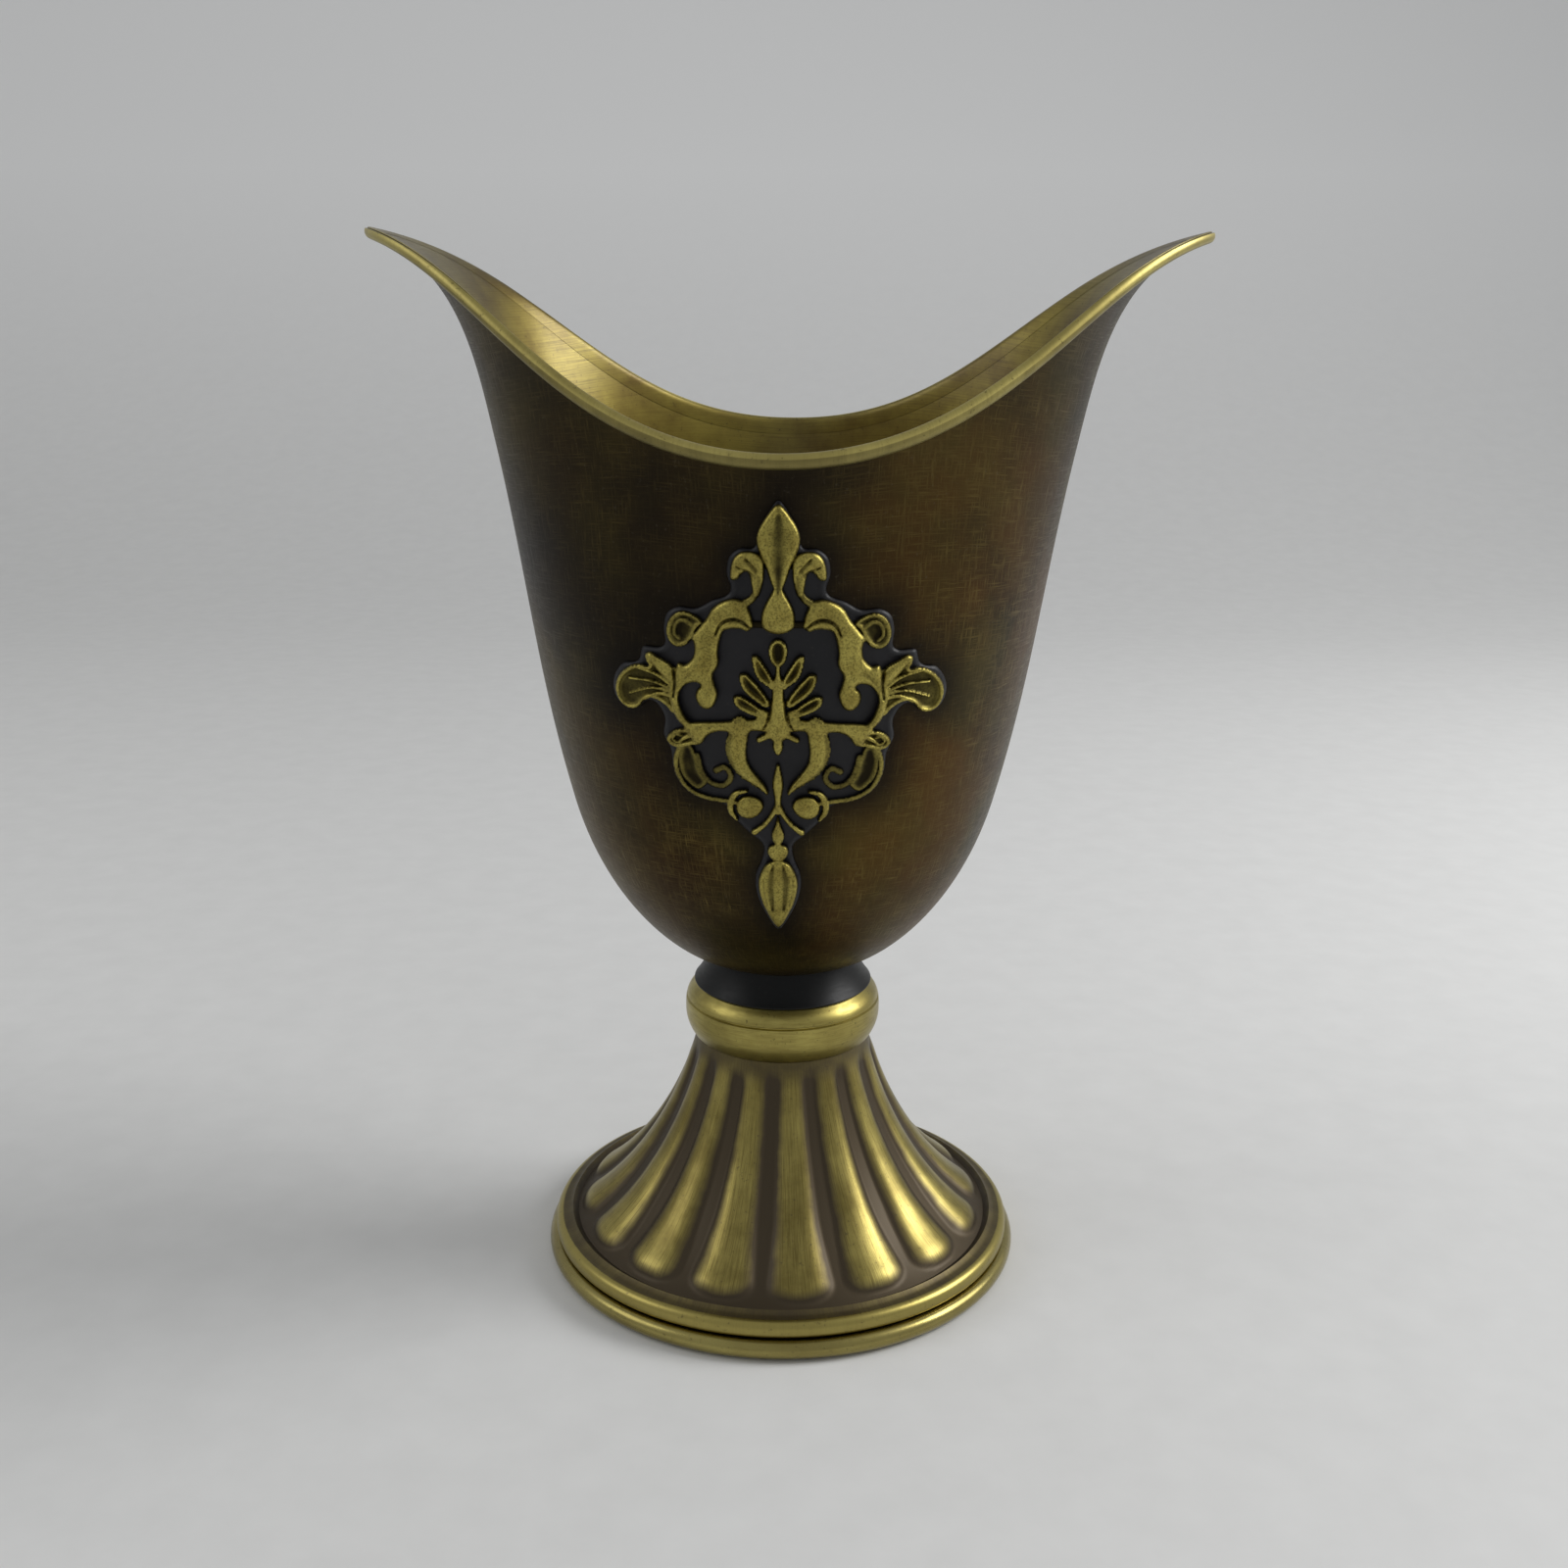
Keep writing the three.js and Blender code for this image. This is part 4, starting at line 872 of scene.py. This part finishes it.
def ornament_drawing(x, z):
    x = np.abs(x)
    deep, tall, worn_and_painted_light = np.full(x.shape, -9.0), np.zeros(x.shape), np.zeros(x.shape)

    def close(points, room=1.5):
        xs, zs = [p[0] for p in points], [p[1] for p in points]
        room += max([p[2] for p in points if len(p) > 2] or [0]) / 2
        return np.nonzero((x > min(xs) - room) & (x < max(xs) + room) & (z > min(zs) - room)
                          & (z < max(zs) + room))[0]

    def lay(at, inside, face, shine, own_outline=True):
        if own_outline:
            deep[at] = np.maximum(deep[at], inside)
        face = np.where(inside > 0, face, 0)
        higher = face > tall[at]
        tall[at] = np.where(higher, face, tall[at])
        worn_and_painted_light[at] = np.where(higher, shine, worn_and_painted_light[at])

    for points, face, height, shine in leaves:
        at = close(points)
        outline = flowing(points, True) if points[0][0] else symmetric(points)
        inside = depth_inside(x[at], z[at], outline)
        lay(at, inside, *face(inside, height, shine))
    for points, face, height, shine in stems:
        at = close(points)
        inside, off = follow(x[at], z[at], points)
        lay(at, inside, *face(off, height, shine))
    for points, height, shine in veins:
        at = close(points)
        inside, off = follow(x[at], z[at], points)
        lay(at, inside, *round_stem(off, height, shine), own_outline=False)
    for points, cut in cuts:
        at = close(points)
        off = follow(x[at], z[at], points)[1]
        share = np.exp(-np.clip(np.abs(off), 0, 6) ** 2)
        tall[at] = np.maximum(tall[at] - cut * share, least_rise)
        worn_and_painted_light[at] = worn_and_painted_light[at] * (1 - min(0.8, 0.75 * cut) * share)
    return deep, ornament_base + np.maximum(tall, least_rise), worn_and_painted_light


ornament_look = brassy("ornament_brass", (0.46, 0.39, 0.098), (0.25, 0.195, 0.044), (0.020, 0.016, 0.008),
                       0.38, brushed=0.15, wear_and_painted_light="wear_and_painted_light", patch=200.0, grain=0.45, lacquer=0.0)
ornament = finished(pressed(0.30, ornament_drawing, ornament_low), "ornament", [ornament_look], crease=60)
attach(ornament, "root")
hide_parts("medallion_ornament")

# Sealing washer: soft black rubber, punched from sheet, squeezed between the cup's floor and the brass
# washer so that the vase holds water.
seal_low, seal_thick, seal_outer, small_steps = cup_seat + sheet + snug, 1.5, 13.0, 96


def washer(inner, outer, low, thick, ease=0.2):
    high = low + thick
    return [(inner, low), (outer - ease, low), (outer, low + ease), (outer, high - ease),
            (outer - ease, high), (inner + ease, high), (inner, high - ease)]


seal_look, tree, shader, where = started("seal_rubber", Metallic=0.0)
bloom = clouded(where, 300, 4)
colour = tinted(ranged(bloom, 0.35, 0.7), (0.012, 0.012, 0.012), (0.035, 0.034, 0.032))
dressed(shader, colour, ranged(bloom, 0.3, 0.7, 0.65, 0.85),
        bumped(clouded(where, 2200, 3), 0.3, 0.08))
seal = finished(turned(washer(bolt_hole, seal_outer, seal_low, seal_thick), small_steps), "seal", [seal_look])
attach(seal, "root")
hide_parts("sealing_washer")

# Cup washer and bolt: brass, so that they don't rust in the water. The hexagon-headed bolt goes down
# through the cup, the neck, the collar's spigot and the foot, and draws the whole vase together.
disc_outer, disc_low, disc_thick = 11.0, seal_low + seal_thick + snug, 1.2
flats, corner_radius, head_height, bolt_radius, bolt_length = 13.0, 7.55, 5.3, 4.0, 34.0
bolt_seat = disc_low + disc_thick + snug
pitch, thread_depth, thread_length, run_out, thread_width, sunk = 1.25, 0.6, 24.0, 0.8, 1.0, 0.05
head_face, head_seat, head_bevel, seat_bevel, clear = 6.1, 7.1, 0.75, 0.35, 0.5
thread_steps = 560

bolt_look = brassy("bolt_brass", (0.40, 0.33, 0.11), (0.24, 0.18, 0.055), (0.06, 0.045, 0.02), 0.30)
disc = washer(bolt_hole, disc_outer, disc_low, disc_thick)
cup_washer = finished(turned(disc, small_steps), "cup_washer_turned", [bolt_look])
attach(cup_washer, "root")
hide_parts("cup_washer")


def six_sided(shape, across, beyond):
    """Presses what lies beyond a radius in to a hexagon."""
    for vert in shape.verts:
        r = math.hypot(vert.co.x, vert.co.y)
        if r > beyond * mm:
            side = across / 2 * mm / math.cos(turn_of(vert) % (math.pi / 3) - math.pi / 6)
            vert.co.x *= min(1, side / r)
            vert.co.y *= min(1, side / r)


def coiled(shape, section, turns, rise, steps):
    """Adds a section of (radius, height), turned round the axis while it climbs, with its ends closed."""
    corners, sides = drawn(shape, section)
    shape.faces.new(corners)
    end = bmesh.ops.spin(shape, geom=corners + sides, cent=(0, 0, 0), axis=(0, 0, 1),
                         angle=2 * math.pi * turns, dvec=(0, 0, rise / steps * mm), steps=steps)["geom_last"]
    shape.faces.new([item for item in end if isinstance(item, bmesh.types.BMVert)])


top, tail = bolt_seat + head_height, bolt_seat - bolt_length
core, plain = bolt_radius - thread_depth, tail + thread_length
shape = turned([(0, top), (head_face, top), (corner_radius, top - head_bevel),
                (corner_radius, bolt_seat + seat_bevel), (head_seat, bolt_seat), (bolt_radius, bolt_seat),
                (bolt_radius, plain), (core, plain - thread_depth), (core, tail + thread_depth),
                (core - thread_depth, tail), (0, tail)], small_steps, closed=False)
six_sided(shape, flats, bolt_radius + clear)
climb, thread_low = thread_length - 2 * run_out - thread_width, tail + run_out
coiled(shape, [(core - sunk, thread_low), (bolt_radius, thread_low + thread_width / 2),
               (core - sunk, thread_low + thread_width)], climb / pitch, climb, thread_steps)
bmesh.ops.recalc_face_normals(shape, faces=shape.faces)
bolt = finished(shape, "bolt", [bolt_look])
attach(bolt, "root")
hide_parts("cup_bolt")

# Washers and nut under the foot: zinc plated steel. The wide washer spreads the load on the foot's roof,
# the split spring washer keeps the joint tight, and the nut is run up from below.
wide_outer, wide_thick = 10.0, 1.6
spring_outer, spring_low, spring_thick, spring_rise, spring_split = 7.0, 78.95, 1.4, 0.3, 16
nut_low, nut_high, nut_bore, nut_face, nut_bevel = 72.1, 78.6, 4.3, 6.3, 0.7
bore_ease, nut_clear, spring_steps = 0.5, 0.7, 90

zinc_look, tree, shader, where = started("zinc_steel", Metallic=1.0)
spangle = ranged(clouded(where, 700, 3, 0.6), 0.35, 0.65)
stain = ranged(clouded(where, 120, 4, 0.6), 0.5, 0.75)
colour = tinted(spangle, (0.50, 0.51, 0.50), (0.66, 0.66, 0.63))
dressed(shader, laid(colour, (0.30, 0.26, 0.20), stain, 0.5),
        ranged(stain, 0.0, 1.0, 0.34, 0.55), bumped(spangle, 0.12, 0.03))

disc = washer(bolt_hole, wide_outer, roof - snug - wide_thick, wide_thick)
foot_washer = finished(turned(disc, small_steps), "foot_washer_turned", [zinc_look])
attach(foot_washer, "root")
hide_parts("foot_washer")

shape = bmesh.new()
spring_high = spring_low + spring_thick
coiled(shape, [(bolt_hole, spring_low), (spring_outer, spring_low), (spring_outer, spring_high),
               (bolt_hole, spring_high)], 1 - spring_split / 360, spring_rise, spring_steps)
half_split = Matrix.Rotation(math.radians(spring_split / 2), 3, "Z")
bmesh.ops.rotate(shape, verts=shape.verts, cent=(0, 0, 0), matrix=half_split)
bmesh.ops.recalc_face_normals(shape, faces=shape.faces)
spring = finished(shape, "spring_washer_coiled", [zinc_look])
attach(spring, "root")
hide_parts("spring_washer")

shape = turned([(nut_bore, nut_low + bore_ease), (nut_bore + bore_ease, nut_low), (nut_face, nut_low),
                (corner_radius, nut_low + nut_bevel), (corner_radius, nut_high - nut_bevel),
                (nut_face, nut_high), (nut_bore + bore_ease, nut_high), (nut_bore, nut_high - bore_ease)],
               small_steps)
six_sided(shape, flats, nut_bore + nut_clear)
nut = finished(shape, "nut", [zinc_look])
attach(nut, "root")
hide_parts("foot_nut")

# Studio: a plain pale floor that curves up to a backdrop, soft even light from all round, a window light
# high on the right and a weaker one on the left. The camera stands where the photograph's did.
floor_width, floor_front, floor_middle, curve_at, curve_radius, backdrop_top = 9.0, -3.5, -1.0, 1.1, 1.5, 2.6
profile = [(floor_front, 0.0), (floor_middle, 0.0),
           *arc(curve_at, curve_radius, curve_radius, -90, 0, 12), (curve_at + curve_radius, backdrop_top)]
shape = bmesh.new()
corners = [shape.verts.new((-floor_width / 2, y, z)) for y, z in profile]
sides = [shape.edges.new((a, b)) for a, b in zip(corners, corners[1:])]
swept = bmesh.ops.extrude_edge_only(shape, edges=sides)["geom"]
bmesh.ops.translate(shape, verts=[item for item in swept if isinstance(item, bmesh.types.BMVert)],
                    vec=(floor_width, 0, 0))
bmesh.ops.recalc_face_normals(shape, faces=shape.faces)
floor_look, tree, shader, where = started("floor_paint", Roughness=0.9, Metallic=0.0)
paint = tinted(ranged(clouded(where, 60, 3), 0.3, 0.7), (0.72, 0.72, 0.71), (0.75, 0.75, 0.74))
up = ranged(node("ShaderNodeSeparateXYZ", {0: where})["Z"], 0.0, 0.5)
feed(shader.inputs["Base Color"], tinted(up, paint, (0.94, 0.94, 0.935)))
floor = finished(shape, "floor", [floor_look], crease=60)

scene = bpy.context.scene
world = scene.world or bpy.data.worlds.new("studio")
scene.world = world
world.use_nodes = True
sky = world.node_tree.nodes["Background"].inputs
sky["Color"].default_value = (0.82, 0.83, 0.84, 1)
sky["Strength"].default_value = 0.51

lights = (("window", (1.22, 0.10, 0.88), 0.7, 13), ("fill", (-1.18, -0.20, 0.90), 0.7, 2.5))
for name, place, size, power in lights:
    light = bpy.data.lights.new(name, "AREA")
    light.size = size
    light.energy = power
    lamp = bpy.data.objects.new(name, light)
    lamp.location = place
    lamp.rotation_euler = (-lamp.location).to_track_quat("-Z", "Y").to_euler()
    scene.collection.objects.link(lamp)

camera = bpy.data.cameras.new("camera")
camera.sensor_width = 36
camera.lens = 38.98
eye = bpy.data.objects.new("camera", camera)
turn, pitch_down, lean = math.radians(1.3), 0.265, 0.0070
distance, stand = 0.4836, 0.2781
eye.matrix_world = (Matrix.Translation((distance * math.sin(turn), -distance * math.cos(turn), stand))
                    @ Matrix.Rotation(turn, 4, "Z") @ Matrix.Rotation(math.pi / 2 - pitch_down, 4, "X")
                    @ Matrix.Rotation(lean, 4, "Z"))
scene.collection.objects.link(eye)
scene.camera = eye
scene.view_settings.view_transform = "Standard"
